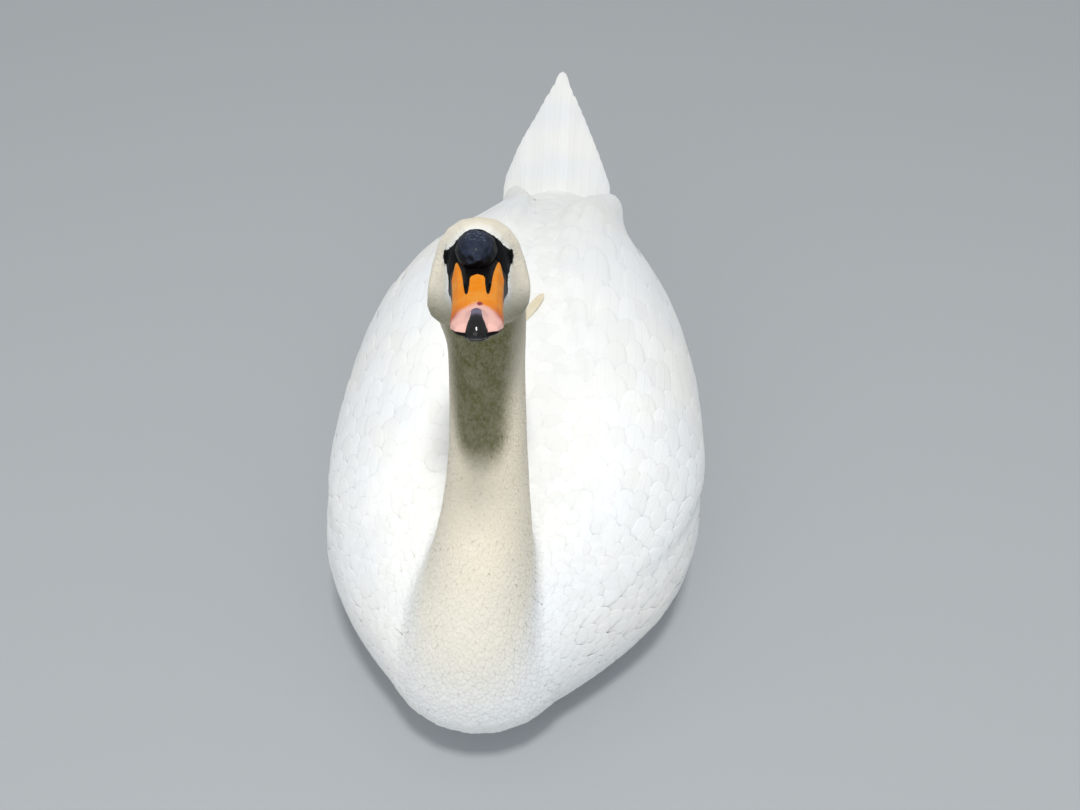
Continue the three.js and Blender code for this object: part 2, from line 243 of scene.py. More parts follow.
class Shader:
    def __init__(self, name, **constants):
        self.material = bpy.data.materials.new(name)
        self.material.use_nodes = True
        self.nodes = self.material.node_tree.nodes
        self.links = self.material.node_tree.links
        self.surface = self.nodes["Principled BSDF"]
        for key, value in constants.items():
            self.surface.inputs[key.replace("_", " ")].default_value = value

    def node(self, kind, settings=None, values=None, output=0):
        made = self.nodes.new(kind)
        for key, value in (settings or {}).items():
            setattr(made, key, value)
        for key, value in (values or {}).items():
            self.put(made.inputs[key], value)
        return Link(self, made.outputs[output])

    def put(self, socket, value):
        if isinstance(value, Link):
            self.links.new(value.socket, socket)
        else:
            socket.default_value = value

    def set(self, name, value):
        self.put(self.surface.inputs[name], value)

    def objectPlace(self):
        return self.node("ShaderNodeTexCoord", output="Object")

    def attribute(self, name):
        return self.node("ShaderNodeAttribute", {"attribute_name": name}, output="Fac")

    def split(self, vector):
        made = self.nodes.new("ShaderNodeSeparateXYZ")
        self.put(made.inputs[0], vector)
        return [Link(self, made.outputs[axis]) for axis in range(3)]

    def mix(self, share, first, second):
        return self.node("ShaderNodeMix", {"data_type": "RGBA"}, {0: share, 6: first, 7: second}, output=2)

    def noise(self, vector, scale, detail=2.0, roughness=0.5):
        values = {"Vector": vector, "Scale": scale, "Detail": detail, "Roughness": roughness}
        return self.node("ShaderNodeTexNoise", values=values)

    def bump(self, height, strength, distance):
        values = {"Height": height, "Strength": strength, "Distance": distance}
        self.set("Normal", self.node("ShaderNodeBump", values=values, output="Normal"))


def tone(red, green, blue):  # a colour as eyes read it, 0 to 255, to the shader's linear values
    parts = [part / 255 for part in (red, green, blue)]
    linear = [part / 12.92 if part <= 0.04045 else ((part + 0.055) / 1.055) ** 2.4 for part in parts]
    return (*linear, 1)


# camera, light and floor
view = {
    "place": (119.05, -900.85, 1106.55),  # bird millimetres
    "heading": 6.23, "lookDown": 46.24, "roll": 1.06,  # degrees
    "lens": 41.67, "sensor": 36, "nearEnd": 0.01,
    "keyPower": 61, "keySize": 0.34, "keyPlace": (0.22, -1.28, 3.45), "keyTone": (1.0, 0.985, 0.95),
    "fillPower": 15, "fillSize": 2.2, "fillPlace": (-0.3, -2.6, 1.1),
    "fillTone": (1, 1, 1), "lightAim": (0, -0.1, 0.2),
    "skyPower": 0.57, "skyTone": (0.965, 0.98, 1.0),
    "floorSide": 14, "floorTone": tone(172, 177, 181),
}


def addCamera():
    heading, down, roll = (math.radians(view[key]) for key in ("heading", "lookDown", "roll"))
    ahead = Vector((-math.sin(heading) * math.cos(down), math.cos(heading) * math.cos(down), -math.sin(down)))
    right = Vector((math.cos(heading), math.sin(heading), 0))
    up = right.cross(ahead)
    rightRolled = right * math.cos(roll) + up * math.sin(roll)
    upRolled = up * math.cos(roll) - right * math.sin(roll)
    data = bpy.data.cameras.new("camera")
    data.lens, data.sensor_width, data.clip_start = view["lens"], view["sensor"], view["nearEnd"]
    camera = addObject("camera", data)
    turned = Matrix((rightRolled, upRolled, -ahead)).transposed().to_4x4()
    camera.matrix_world = Matrix.Translation(fromBird(*view["place"])) @ turned
    bpy.context.scene.camera = camera


def addSoftLight(name):
    data = bpy.data.lights.new(name, "AREA")
    data.energy, data.size, data.color = (view[name + part] for part in ("Power", "Size", "Tone"))
    place = Vector(view[f"{name}Place"])
    aim = Vector(view["lightAim"]) - place
    lamp = addObject(name, data)
    lamp.matrix_world = Matrix.Translation(place) @ aim.to_track_quat("-Z", "Y").to_matrix().to_4x4()


def addStage():
    addCamera()
    addSoftLight("key")
    addSoftLight("fill")
    world = bpy.data.worlds.new("studio")
    world.use_nodes = True
    sky = world.node_tree.nodes["Background"]
    sky.inputs[0].default_value = (*view["skyTone"], 1)
    sky.inputs[1].default_value = view["skyPower"]
    bpy.context.scene.world = world
    deselectAll()
    bpy.ops.mesh.primitive_plane_add(size=view["floorSide"])
    floor = bpy.context.object
    floor.name = "floor"
    paint = Shader("floorPaint", Roughness=0.85, Base_Color=view["floorTone"])
    floor.data.materials.append(paint.material)
    bpy.context.scene.view_settings.view_transform = "Standard"


addStage()
print("stage set")


# the CAD nodes that the coat's outer form and the skin inside it are made from
hornNodes = ["knob", "bill_upper", "bill_nail", "bill_lower"]
eyeNodes = ["eye_left", "eye_right"]
neckNodes = ["neck_upper", "neck_middle", "neck_lower", "breast"]
trunkNodes = ["trunk_front", "trunk_middle", "rump"]
wingNodes = [f"wing_{side}_{part}" for side in ("left", "right") for part in ("coverts", "secondaries")]
primaryNodes = ["wing_left_primaries", "wing_right_primaries"]
legNodes = {side: [f"foot_{side}", f"shank_{side}"] for side in ("left", "right")}

skinShape = {
    "bodyVoxel": 3.8 * mm, "skinVoxel": 4.4 * mm, "headVoxel": 1.0 * mm, "partingVoxel": 6 * mm,
    "bodyRounds": 26, "neckRounds": 6, "headRounds": 5, "partingRounds": 2, "faceRounds": 3,
    "neckBefore": -0.12, "broadBelow": (0.42, 0.26),  # metres along the bird, and above the floor
    "creaseHold": 0.85, "creaseReach": (26, 8), "tailHold": 0.8, "tailFrom": (0.14, 0.20),
    "headReach": 92,  # mm from the head's middle within which the skin is made finer
    "headCuts": 3, "headBlend": (10, 34), "allNeck": (100, 80),
    # height in mm against the depth of the coat there
    "depthHeights": (0, 150, 230, 330, 440, 520), "depths": (5.2, 5.2, 4, 2.6, 1.8, 1.4),
    "headDepth": 0.65, "headFade": (86, 62),
    "underHorn": 1.7, "hornEdge": (27.6, 29.4), "hornBack": 20, "hornReach": 160,  # where horn covers it
    "faceHalf": 40, "fadeIn": (4, 20),
}

# the front edge of the feathers on the face: up from the eye line, against the place forward
featherEdge = {
    "up": (-30, -21, -14, -9, -6.4, -5, 0, 5, 7, 9, 14, 20, 26),
    "forward": (27.6, 27, 25.4, 21, 11, 2.5, 2, 2.5, 6, 9.6, 12.4, 13.6, 14),
}
eyeShape = {
    "radius": 4.8, "side": 19.2, "forward": bird["eyesAhead"], "opening": 3.3, "lid": 5.0, "lidRise": 0.5,
    "room": 0.5, "behindBall": 0.9,  # from the ball out to the face, and in to the skin within the lids
    "beside": 12,  # from the middle of the head to where its sides begin
    # how far out the cheek is past the eye, and its slopes behind, ahead and above
    "cheek": 2.6, "behind": 0.4, "behindFrom": 4, "ahead": 0.16, "above": 0.08, "blend": (28, 4),
}
headMiddle = np.array((0, -12, -12))
# narrower above the cheeks and wider on them, as shares of the width
headWaist = {"share": 0.065, "up": (-24, -2), "cheeks": 0.03, "reach": (84, 62), "front": (30, 24)}
# the right side of the back, as a share of its half width, between these places in bird mm
backDraw = {"share": 0.2, "along": (110, 250), "up": (160, 205)}
jaw = {  # fuller on one side: place forward and up, reach, and how far
    "swells": (((-8, -52), (24, 17), 6.5), ((-97, -56), (34, 20), 8)), "side": -1, "outward": (4, 18),
}
nape = {
    # fills the hollow where the head meets the neck: place forward and up, reach, how far and which way
    "place": (-48, 1), "spread": (15, 15), "push": 5.5, "way": (-0.35, 0.94), "aside": (34, 14),
    # and where the join is smoothed
    "behind": (-22, -44), "reach": (150, 100), "rounds": 18, "fineRounds": 260, "swell": 0.9 * mm,
}


def fromHeadMiddle(head):
    return np.linalg.norm(head - headMiddle, axis=1)


def headDistance(points):
    return fromHeadMiddle(toHead(points))


def fromEye(head):  # seen from the side
    return np.hypot(head[:, 1] - eyeShape["forward"], head[:, 2])


def edgeAt(head):
    return np.interp(head[:, 2], featherEdge["up"], featherEdge["forward"])


def barePart(head):  # 1 on bare black skin, 0 under feathers
    aside = np.abs(head[:, 0])
    ring = np.where(aside > eyeShape["beside"], fromEye(head), 99)
    lores = (head[:, 1] > edgeAt(head)) & (aside < skinShape["faceHalf"])
    return np.where(lores | (ring < eyeShape["lid"]), 1.0, 0.0)


def coatDepth(points):  # metres
    depth = np.interp(points[:, 2] / mm, skinShape["depthHeights"], skinShape["depths"])
    near = ramp(*skinShape["headFade"], headDistance(points))
    return (depth + (skinShape["headDepth"] - depth) * near) * mm


class Surface:  # nearest places on a mesh, with smooth normals
    def __init__(self, piece):
        self.points = pointsOf(piece)
        self.normals = normalsOf(piece)
        faces = [tuple(face.vertices) for face in piece.data.polygons]
        self.corners = np.array([face if len(face) == 4 else (*face, face[-1]) for face in faces])
        self.tree = BVHTree.FromPolygons(self.points.tolist(), faces)

    def nearest(self, points):
        found = [self.tree.find_nearest(point) for point in np.asarray(points).tolist()]
        places = np.array([hit[0][:] for hit in found])
        corners = self.corners[[hit[2] for hit in found]]
        gaps = np.linalg.norm(self.points[corners] - places[:, None], axis=2) + 1e-5
        return places, unit((self.normals[corners] / gaps[..., None] ** 1.5).sum(1))

    def hit(self, start, way):
        place, _, _, _ = self.tree.ray_cast(start, way)
        return place


def partingSurface(nodes):
    helper = soften(copyOf("parting", nodes), skinShape["partingVoxel"], skinShape["partingRounds"])
    surface = Surface(helper)
    bpy.data.objects.remove(helper)
    return surface


neckSurface = partingSurface(neckNodes)
trunkSurface = partingSurface([*trunkNodes, *wingNodes])


def gapTo(surface, points):  # mm
    return np.linalg.norm(points - surface.nearest(points)[0], axis=1) / mm


def neckPart(points, low=-1.5, high=1.5):  # 1 on head, neck and breast, 0 on the trunk, by which lies outside
    points = np.asarray(points)
    apart = np.full(len(points), -9.0)
    front = points[:, 1] < skinShape["neckBefore"]
    if front.any():
        apart[front] = gapTo(trunkSurface, points[front]) - gapTo(neckSurface, points[front])
    return np.maximum(ramp(low, high, apart), ramp(*skinShape["allNeck"], headDistance(points)))


def smoothBody(piece):  # broad rounding, held back along the line between neck and trunk
    points = pointsOf(piece)
    weights = ramp(*skinShape["broadBelow"], points[:, 2])
    front = points[:, 1] < skinShape["neckBefore"]
    gaps = np.maximum(gapTo(neckSurface, points[front]), gapTo(trunkSurface, points[front]))
    weights[front] *= 1 - skinShape["creaseHold"] * ramp(*skinShape["creaseReach"], gaps)
    weights *= 1 - skinShape["tailHold"] * ramp(*skinShape["tailFrom"], points[:, 1])
    setGroup(piece, "broad", weights)
    relax(piece, skinShape["bodyRounds"], vertex_group="broad")


def smoothNape(piece, rounds):  # head and neck run into each other without a step
    head = toHead(pointsOf(piece))
    setGroup(piece, "nape", ramp(*nape["behind"], head[:, 1]) * ramp(*nape["reach"], fromHeadMiddle(head)))
    relax(piece, rounds, vertex_group="nape")
    addModifier(piece, "DISPLACE", strength=nape["swell"], mid_level=0, vertex_group="nape")


def shapeBack(points):  # draws the right side of the back in towards the tail
    place = inBird(points)
    part = ramp(*backDraw["along"], place[:, 1]) * ramp(*backDraw["up"], place[:, 2])
    part = part * np.maximum(-place[:, 0], 0)
    return points + part[:, None] * np.array((backDraw["share"], 0, 0)) * mm


def shapeJaw(points):  # swells the jaw and fills the hollow of the nape
    head = toHead(points)
    outward = ramp(*jaw["outward"], head[:, 0] * jaw["side"])
    for place, spread, push in jaw["swells"]:
        gap = (head[:, 1:] - place) / spread
        head[:, 0] += jaw["side"] * push * outward * np.exp(-(gap ** 2).sum(1))
    gap = (head[:, 1:] - nape["place"]) / nape["spread"]
    fill = nape["push"] * np.exp(-(gap ** 2).sum(1)) * ramp(*nape["aside"], np.abs(head[:, 0]))
    head[:, 1:] += fill[:, None] * np.array(nape["way"])
    return fromHead(head)


def shapeFace(points):  # narrows the upper head and fits the face round the eyeballs
    head = toHead(points)
    near = ramp(*headWaist["reach"], fromHeadMiddle(head)) * ramp(*headWaist["front"], head[:, 1])
    waist = headWaist["share"] * ramp(*headWaist["up"], head[:, 2])
    head[:, 0] *= 1 + (headWaist["cheeks"] - waist) * near
    around, ahead, up = fromEye(head), head[:, 1] - eyeShape["forward"], head[:, 2]
    ball = np.sqrt(np.maximum((eyeShape["radius"] + eyeShape["room"]) ** 2 - around ** 2, 0))
    behind = np.maximum(np.hypot(np.minimum(ahead, 0), np.minimum(up, 0)) - eyeShape["behindFrom"], 0)
    cheek = eyeShape["side"] + eyeShape["cheek"] + eyeShape["behind"] * behind
    cheek = cheek - eyeShape["ahead"] * np.maximum(ahead, 0) - eyeShape["above"] * np.maximum(up, 0)
    level = np.maximum(eyeShape["side"] + ball * (around < eyeShape["radius"]), cheek)
    side = np.abs(head[:, 0])
    lowered = np.where(up < 0, 0.5, 1) * up  # the blend reaches twice as far down
    close = ramp(*eyeShape["blend"], np.hypot(ahead, lowered)) * (side > eyeShape["beside"])
    head[:, 0] = np.sign(head[:, 0]) * (side + (np.minimum(side, level) - side) * close)
    return fromHead(head)


def shapedBody(name, nodes, voxel):
    body = soften(copyOf(name, nodes), voxel, skinShape["neckRounds"])
    smoothBody(body)
    smoothNape(body, nape["rounds"])
    setPoints(body, shapeBack(shapeJaw(pointsOf(body))))
    return body


def shapedHead():
    nodes = ["head", *hornNodes, *eyeNodes, "neck_upper", "neck_middle"]
    head = soften(copyOf("headForm", nodes), skinShape["headVoxel"], skinShape["headRounds"])
    smoothNape(head, nape["fineRounds"])
    setPoints(head, shapeFace(shapeJaw(pointsOf(head))))
    relax(head, skinShape["faceRounds"])
    return head


print("shaping the coat's outer form")
outerNodes = ["head", *hornNodes, *neckNodes, *trunkNodes, *wingNodes, *primaryNodes, "tail"]
coatForm = shapedBody("coatForm", outerNodes, skinShape["bodyVoxel"])
headForm = shapedHead()
bodySurface = Surface(coatForm)
headSurface = Surface(headForm)


def nearestOn(points):  # the fine head where it reaches, the body's form elsewhere, blended between
    points = np.asarray(points)
    start, full = (skinShape["headReach"] - inside for inside in skinShape["headBlend"])
    share = ramp(start, full, headDistance(points))[:, None]
    places, normals = np.zeros_like(points), np.zeros_like(points)
    for part, surface in ((share, headSurface), (1 - share, bodySurface)):
        some = part[:, 0] > 0
        if some.any():
            found, up = surface.nearest(points[some])
            places[some] += found * part[some]
            normals[some] += up * part[some]
    return places, unit(normals)


lie = {
    # the coat follows a line from the bill over the head, down the neck and back to the tail
    "line": (
        (10, -375, 610), (5, -300, 590), (3, -262, 572), (1, -236, 556), (0, -222, 530), (1, -208, 500),
        (1, -202, 465), (1, -208, 420), (1, -226, 350), (-1, -247, 286), (-3, -264, 226), (-3, -269, 178),
        (-2, -262, 136), (-1, -235, 116), (0, -190, 114), (3, -120, 120), (4, -40, 130), (3, 40, 140),
        (3, 120, 158), (4, 190, 185), (4, 260, 205), (0, 340, 218), (-8, 440, 230), (-14, 508, 240),
    ),
    "steps": 6, "rounds": 6, "soft": 2.5e-4, "chunk": 20000,
    # on the trunk it spreads from a place in the breast and gathers to one behind the tail
    "source": (-2, -330, 150), "stretch": (0.8, 0.35, 0.8), "front": (-0.20, -0.36), "frontShare": 0.7,
    "tailTip": (-14, 640, 246), "behind": (0.10, 0.21),
}
bakeEdge = 0.004  # border of the unwrap


def fineLine():
    points = np.array([fromBird(*point) for point in lie["line"]])
    parts = np.linspace(0, 1, lie["steps"], endpoint=False)[:, None]
    fine = np.concatenate([first + (second - first) * parts for first, second in zip(points, points[1:])])
    for _ in range(lie["rounds"]):
        fine[1:-1] = (fine[:-2] + 2 * fine[1:-1] + fine[2:]) / 4
    return fine


lineFine = fineLine()
lineWay = unit(np.gradient(lineFine, axis=0))
lineLength = np.concatenate([[0], np.cumsum(np.linalg.norm(np.diff(lineFine, axis=0), axis=1))])


def alongLine(points):  # share of the way from bill to tail, and the line's own direction there
    share, way = np.empty(len(points)), np.empty((len(points), 3))
    for start in range(0, len(points), lie["chunk"]):
        some = slice(start, start + lie["chunk"])
        gaps = ((points[some, None] - lineFine[None]) ** 2).sum(2)
        weights = 1 / (gaps + lie["soft"]) ** 4
        weights /= weights.sum(1)[:, None]
        share[some] = weights @ lineLength / lineLength[-1]
        way[some] = weights @ lineWay
    return share, way


def lieAt(points, normals):  # the way that a feather points there
    _, way = alongLine(points)
    onNeck = neckPart(points)[:, None]
    spread = unit((points - np.array(fromBird(*lie["source"]))) * np.array(lie["stretch"]))
    front = ramp(*lie["front"], points[:, 1])[:, None]
    trunkWay = np.array((0, 1, 0)) * (1 - lie["frontShare"] * front) + spread * front
    behind = ramp(*lie["behind"], points[:, 1])[:, None]
    toTail = unit(np.array(fromBird(*lie["tailTip"])) - points)
    trunkWay = trunkWay * (1 - behind) + toTail * behind
    return flattened(way * onNeck + trunkWay * (1 - onNeck), normals)


def bakePlace(points):  # an unwrap of the skin's own tube: round it and along it
    share, way = alongLine(points)
    across = unit(np.cross(way, (1, 0, 0)))
    at = share * lineLength[-1]
    gap = points - np.stack([np.interp(at, lineLength, lineFine[:, axis]) for axis in range(3)], 1)
    turn = np.arctan2(gap[:, 0], (gap * across).sum(1)) / (2 * math.pi) + 0.5
    return bakeEdge + np.stack([turn, share], 1) * (1 - 2 * bakeEdge)


# colours that skin and coat share
coatTones = {
    "white": tone(244, 245, 243), "cool": tone(236, 240, 243),
    # the dark olive tone is a stain, darkened to stand for painted shadow as well
    "cream": tone(236, 226, 202), "buff": tone(214, 196, 152), "oliveStainAndShadow": tone(88, 86, 36),
    "shaded": tone(205, 203, 192), "bareSkin": tone(5, 5, 6), "bareGlow": tone(10, 10, 12),
    # at the bottom of the breast the cream rises again, partly a painted reflection
    "creamHeights": (0, 60, 130, 210, 300, 400, 560), "creams": (0.5, 0.42, 0.42, 0.58, 0.85, 0.95, 0.8),
}
buffParts = {  # places in the head's frame, mm
    "crown": {"up": (18, 27), "forward": (10, -12), "reach": 90, "share": 0.34},
    "nape": {"forward": (-30, -55), "reach": (120, 66), "share": 0.16},
}
paleEdge = {"wide": 6.5, "reach": 70, "share": 0.85}  # whiter feathers beside the bare skin
stainAndShadow = {
    # down the front of the neck under the chin, in bird mm: olive, partly a water stain and partly the head's
    # cast shadow painted in
    "heights": (286, 350, 420, 465, 500), "x": (2, 1.5, -2, -2, -1), "y": (-247, -226, -208, -202, -208),
    "half": (22, 21, 27, 33, 38), "shift": 1, "edge": (1.2, 0.55), "before": (2, -4), "bow": 10,  # lower edge
    "height": (348, 384), "reach": (48, 74), "share": 0.95,
    # fainter under the jaw, partly painted shade there, and down the sides of the neck
    "chinUp": (-18, -42), "chinForward": (-50, -20), "chinReach": (100, 80), "chinShare": 0.8,
    "sideHeight": (320, 480), "sideReach": (56, 100), "sideShare": 0.1,
}


# olive on the neck's front and under the jaw: part stain, part painted shadow of the head
def stainAndHeadShadow(points):
    place = inBird(points)
    x, y, half = (np.interp(place[:, 2], stainAndShadow["heights"], stainAndShadow[key]) for key in ("x", "y", "half"))
    aside = np.abs(place[:, 0] - x - stainAndShadow["shift"]) / half
    front = ramp(*stainAndShadow["edge"], aside) * ramp(*stainAndShadow["before"], place[:, 1] - y)
    front = front * ramp(*stainAndShadow["height"], place[:, 2] - stainAndShadow["bow"] * aside ** 2)
    head = toHead(points)
    reach = fromHeadMiddle(head)
    front = front * ramp(*stainAndShadow["reach"], reach) * (head[:, 2] < 0)
    chin = ramp(*stainAndShadow["chinUp"], head[:, 2]) * ramp(*stainAndShadow["chinForward"], head[:, 1])
    chin = chin * ramp(*stainAndShadow["chinReach"], reach) * stainAndShadow["chinShare"]
    sides = ramp(*stainAndShadow["sideHeight"], place[:, 2]) * ramp(*stainAndShadow["sideReach"], reach)
    sides = sides * stainAndShadow["sideShare"] * (neckPart(points) > 0.5)
    return np.maximum.reduce([front, chin, sides]) * stainAndShadow["share"]


def markings(points):  # how cream, how buff and how olive the coat is at each place; the olive is partly painted shadow
    head, crown, back = toHead(points), buffParts["crown"], buffParts["nape"]
    reach = fromHeadMiddle(head)
    cream = np.interp(points[:, 2] / mm, coatTones["creamHeights"], coatTones["creams"])
    gap = np.maximum(edgeAt(head) - head[:, 1], 0) / paleEdge["wide"]
    pale = np.exp(-gap ** 2) * (reach < paleEdge["reach"])
    cream = cream * neckPart(points, 0, 34) * (1 - paleEdge["share"] * pale)
    onCrown = ramp(*crown["up"], head[:, 2]) * ramp(*crown["forward"], head[:, 1]) * (reach < crown["reach"])
    onNape = ramp(*back["forward"], head[:, 1]) * ramp(*back["reach"], reach)
    return cream, np.clip(crown["share"] * onCrown + back["share"] * onNape, 0, 1), stainAndHeadShadow(points)


def coatColor(shader, place, white, even=False):  # cream, buff and olive laid over the white; the olive is partly painted shadow
    mottle = shader.noise(place, 70, detail=4, roughness=0.65)
    buff = shader.attribute("buff")
    if not even:
        buff = buff * (0.6 + 0.8 * mottle)
    color = shader.mix(shader.attribute("cream") * (0.86 + 0.28 * mottle), white, coatTones["cream"])
    color = shader.mix(buff, color, coatTones["buff"])
    return shader.mix(shader.attribute("oliveStainAndShadow") * (0.8 + 0.4 * mottle), color, coatTones["oliveStainAndShadow"])


def paintCoat(name, barbs):
    shader = Shader(name, Roughness=0.78, Specular_IOR_Level=0.28, Sheen_Weight=0.12, Sheen_Roughness=0.6)
    place = shader.objectPlace()
    cloud = shader.noise(place, 9, detail=3)
    white = shader.mix(cloud.step(0.35, 0.65), coatTones["white"], coatTones["cool"])
    color = coatColor(shader, place, white)
    shader.set("Base Color", shader.mix(shader.attribute("tint") * 0.16, color, coatTones["shaded"]))
    if barbs:
        across, along, _ = shader.split(shader.node("ShaderNodeUVMap", {"uv_map": "vane"}, output="UV"))
        side = (across - 0.5).size()
        lines = (along * barbs["count"] - side * barbs["slant"]).math("FRACT")
        ridge = side.step(0.0, barbs["shaft"])
        height = (lines - 0.5).size() * barbs["depth"] + (1 - ridge)
        shader.bump(height, 0.35, barbs["relief"])
    else:
        shader.bump(shader.noise(place, 420, detail=3, roughness=0.7), 0.3, 0.4 * mm)
    return shader.material


def paintSkin():
    shader = Shader("skinPaint", Specular_IOR_Level=0.06)
    place = shader.objectPlace()
    color = coatColor(shader, place, coatTones["white"], even=True)
    bare = shader.attribute("bare").step(0.35, 0.65)
    grain = shader.noise(place, 900, detail=3, roughness=0.6)
    black = shader.mix(grain, coatTones["bareSkin"], coatTones["bareGlow"])
    shader.set("Base Color", shader.mix(bare, color, black))
    shader.set("Roughness", 0.8 - bare * 0.25)
    shader.bump(grain, 0.4, 0.3 * mm)
    return shader.material


def refine(piece, chosen, cuts):  # splits the faces whose corners are all chosen
    pick(piece)
    bpy.ops.object.mode_set(mode="EDIT")
    bpy.ops.mesh.select_mode(type="VERT")
    bpy.ops.mesh.select_all(action="DESELECT")
    bpy.ops.object.mode_set(mode="OBJECT")
    piece.data.vertices.foreach_set("select", chosen)
    bpy.ops.object.mode_set(mode="EDIT")
    bpy.ops.mesh.select_mode(type="FACE")
    bpy.ops.mesh.subdivide(number_cuts=cuts)
    bpy.ops.object.mode_set(mode="OBJECT")


def sinkSkin(points, normals):  # from the coat's outer form to the skin, with lids that rise round the eyes
    head = toHead(points)
    reach, around, aside = fromHeadMiddle(head), fromEye(head), np.abs(head[:, 0])
    near = reach < skinShape["headReach"]
    bare = barePart(head) * near
    depth = coatDepth(points) * (1 - bare)
    ahead = near | (head[:, 1] > skinShape["hornBack"])
    underHorn = ahead * ramp(*skinShape["hornEdge"], head[:, 1]) * (reach < skinShape["hornReach"])
    depth = depth * (1 - underHorn) + underHorn * skinShape["underHorn"] * mm
    onEye = near & (aside > eyeShape["beside"])
    rim = np.clip((around - eyeShape["opening"]) / (eyeShape["lid"] - eyeShape["opening"]), 0, 1)
    hood = eyeShape["lidRise"] * np.sin(math.pi * rim) ** 0.8 * (1 + 0.35 * head[:, 2] / eyeShape["lid"])
    depth = np.where(onEye & (around < eyeShape["lid"]), -hood * mm, depth)
    return points - normals * depth[:, None], bare, onEye & (around < eyeShape["opening"])


def tuckBehindEyes(points, opening):  # inside the lids the skin lies just within the eyeball
    head, radius = toHead(points), eyeShape["radius"] - eyeShape["behindBall"]
    for sign in (1, -1):
        centre = np.array((sign * eyeShape["side"], eyeShape["forward"], 0))
        gap = head - centre
        inside = opening & (gap[:, 0] * sign > 0)
        head = np.where(inside[:, None], centre + unit(gap) * radius, head)
    return np.where(opening[:, None], fromHead(head), points)


def makeSkin():  # one closed surface under the coat
    nodes = ["head", *neckNodes, *trunkNodes, *wingNodes]
    skin = shapedBody("skin", nodes + hornNodes + eyeNodes, skinShape["skinVoxel"])
    reach = skinShape["headReach"]
    refine(skin, headDistance(pointsOf(skin)) < reach, skinShape["headCuts"])
    start, full = (reach - inside for inside in skinShape["fadeIn"])
    setGroup(skin, "head", ramp(start, full, headDistance(pointsOf(skin))))
    addModifier(
        skin, "SHRINKWRAP", target=headForm, wrap_method="NEAREST_SURFACEPOINT", vertex_group="head",
    )
    points, bare, opening = sinkSkin(pointsOf(skin), normalsOf(skin))
    points = tuckBehindEyes(points, opening)
    setPoints(skin, points)
    for key, values in zip(("cream", "buff", "oliveStainAndShadow", "bare"), (*markings(points), bare)):
        setValues(skin, key, values)
    shadeSmooth(skin)
    return finishPiece(skin, paintSkin(), nodes)


skin = makeSkin()
print("skin made:", len(skin.data.polygons), "faces")


# every feather and tuft is a thin closed blade that follows the form
blades = {
    "tries": 3.4,  # places drawn for each root that is kept
    "lowest": 0.1 * mm, "patch": 0.003, "faceShare": 0.3,  # height, bake patch, share of its own shading
}


def scatter(surface, spacingAt):  # evenly spread roots, wider apart where the feathers are bigger
    quads = surface.points[surface.corners]
    centres = quads.mean(1)
    normals = surface.normals[surface.corners].mean(1)
    diagonals = quads[:, 2] - quads[:, 0], quads[:, 3] - quads[:, 1]
    areas = np.linalg.norm(np.cross(*diagonals), axis=1) / 2
    spacing = spacingAt(centres, normals)
    wanted = np.where(spacing > 0, areas / np.maximum(spacing, 1e-5) ** 2 * blades["tries"], 0)
    counts = np.floor(wanted + dice.random(len(wanted))).astype(int)
    faces = np.repeat(np.arange(len(counts)), counts)
    faces = faces[dice.permutation(len(faces))]
    u, v = dice.random((2, len(faces), 1))
    some = quads[faces]
    points = (some[:, 0] * (1 - u) + some[:, 1] * u) * (1 - v) + (some[:, 3] * (1 - u) + some[:, 2] * u) * v
    tree = KDTree(len(points))
    for index, point in enumerate(points.tolist()):
        tree.insert(point, index)
    tree.balance()
    free = [True] * len(points)
    kept = []
    reach = spacing[faces].tolist()
    for index, point in enumerate(points.tolist()):
        if free[index]:
            kept.append(index)
            for _, other, _ in tree.find_range(point, reach[index]):
                free[other] = False
    return points[kept]


def walk(roots, ways, lengths, parts):  # the form's surface under each feather, from root to tip
    places, normals = nearestOn(roots)
    spine, up = [places], [normals]
    way = ways
    for before, after in zip(parts[:-1], parts[1:]):
        way = flattened(way, normals)
        places, normals = nearestOn(places + way * (lengths * (after - before))[:, None])
        spine.append(places)
        up.append(normals)
    return np.stack(spine, 1), np.stack(up, 1)


def bladeFaces(rings, columns):  # corner lists of one blade: top, tip, underside with a keel line, root
    row = columns + 1
    tip = rings * row
    keel = tip + 1
    faces = []
    for i in range(rings - 1):
        start, after = i * row, (i + 1) * row
        faces += [(start + j, start + j + 1, after + j + 1, after + j) for j in range(columns)]
        faces.append((start, after, keel + i + 1, keel + i))
        faces.append((keel + i, keel + i + 1, after + columns, start + columns))
    last = (rings - 1) * row
    faces += [(last + j, last + j + 1, tip) for j in range(columns)]
    faces += [(last, tip, keel + rings - 1), (keel + rings - 1, tip, last + columns)]
    faces.append((*range(columns, -1, -1), keel))
    return faces


def sideWays(spine, up):
    return unit(np.cross(unit(np.gradient(spine, axis=1)), up))


def vaneMesh(name, points, template, sizes, local, bake):  # one mesh of many blades alike
    count, perVane = points.shape[:2]
    corners = (template[None] + (np.arange(count) * perVane)[:, None]).ravel()
    starts = np.concatenate([[0], np.cumsum(np.tile(sizes, count))[:-1]])
    mesh = bpy.data.meshes.new(name)
    mesh.vertices.add(count * perVane)
    mesh.vertices.foreach_set("co", points.astype(np.float32).ravel())
    mesh.loops.add(len(corners))
    mesh.loops.foreach_set("vertex_index", corners.astype(np.int32))
    mesh.polygons.add(len(starts))
    mesh.polygons.foreach_set("loop_start", starts.astype(np.int32))
    mesh.update(calc_edges=True)
    patches = bake[:, None] + local[None] * blades["patch"]
    for layer, places in (("vane", np.tile(local + 0.5, (count, 1))), ("OFBake", patches)):
        mesh.uv_layers.new(name=layer).data.foreach_set("uv", places.astype(np.float32).ravel())
    return mesh, corners


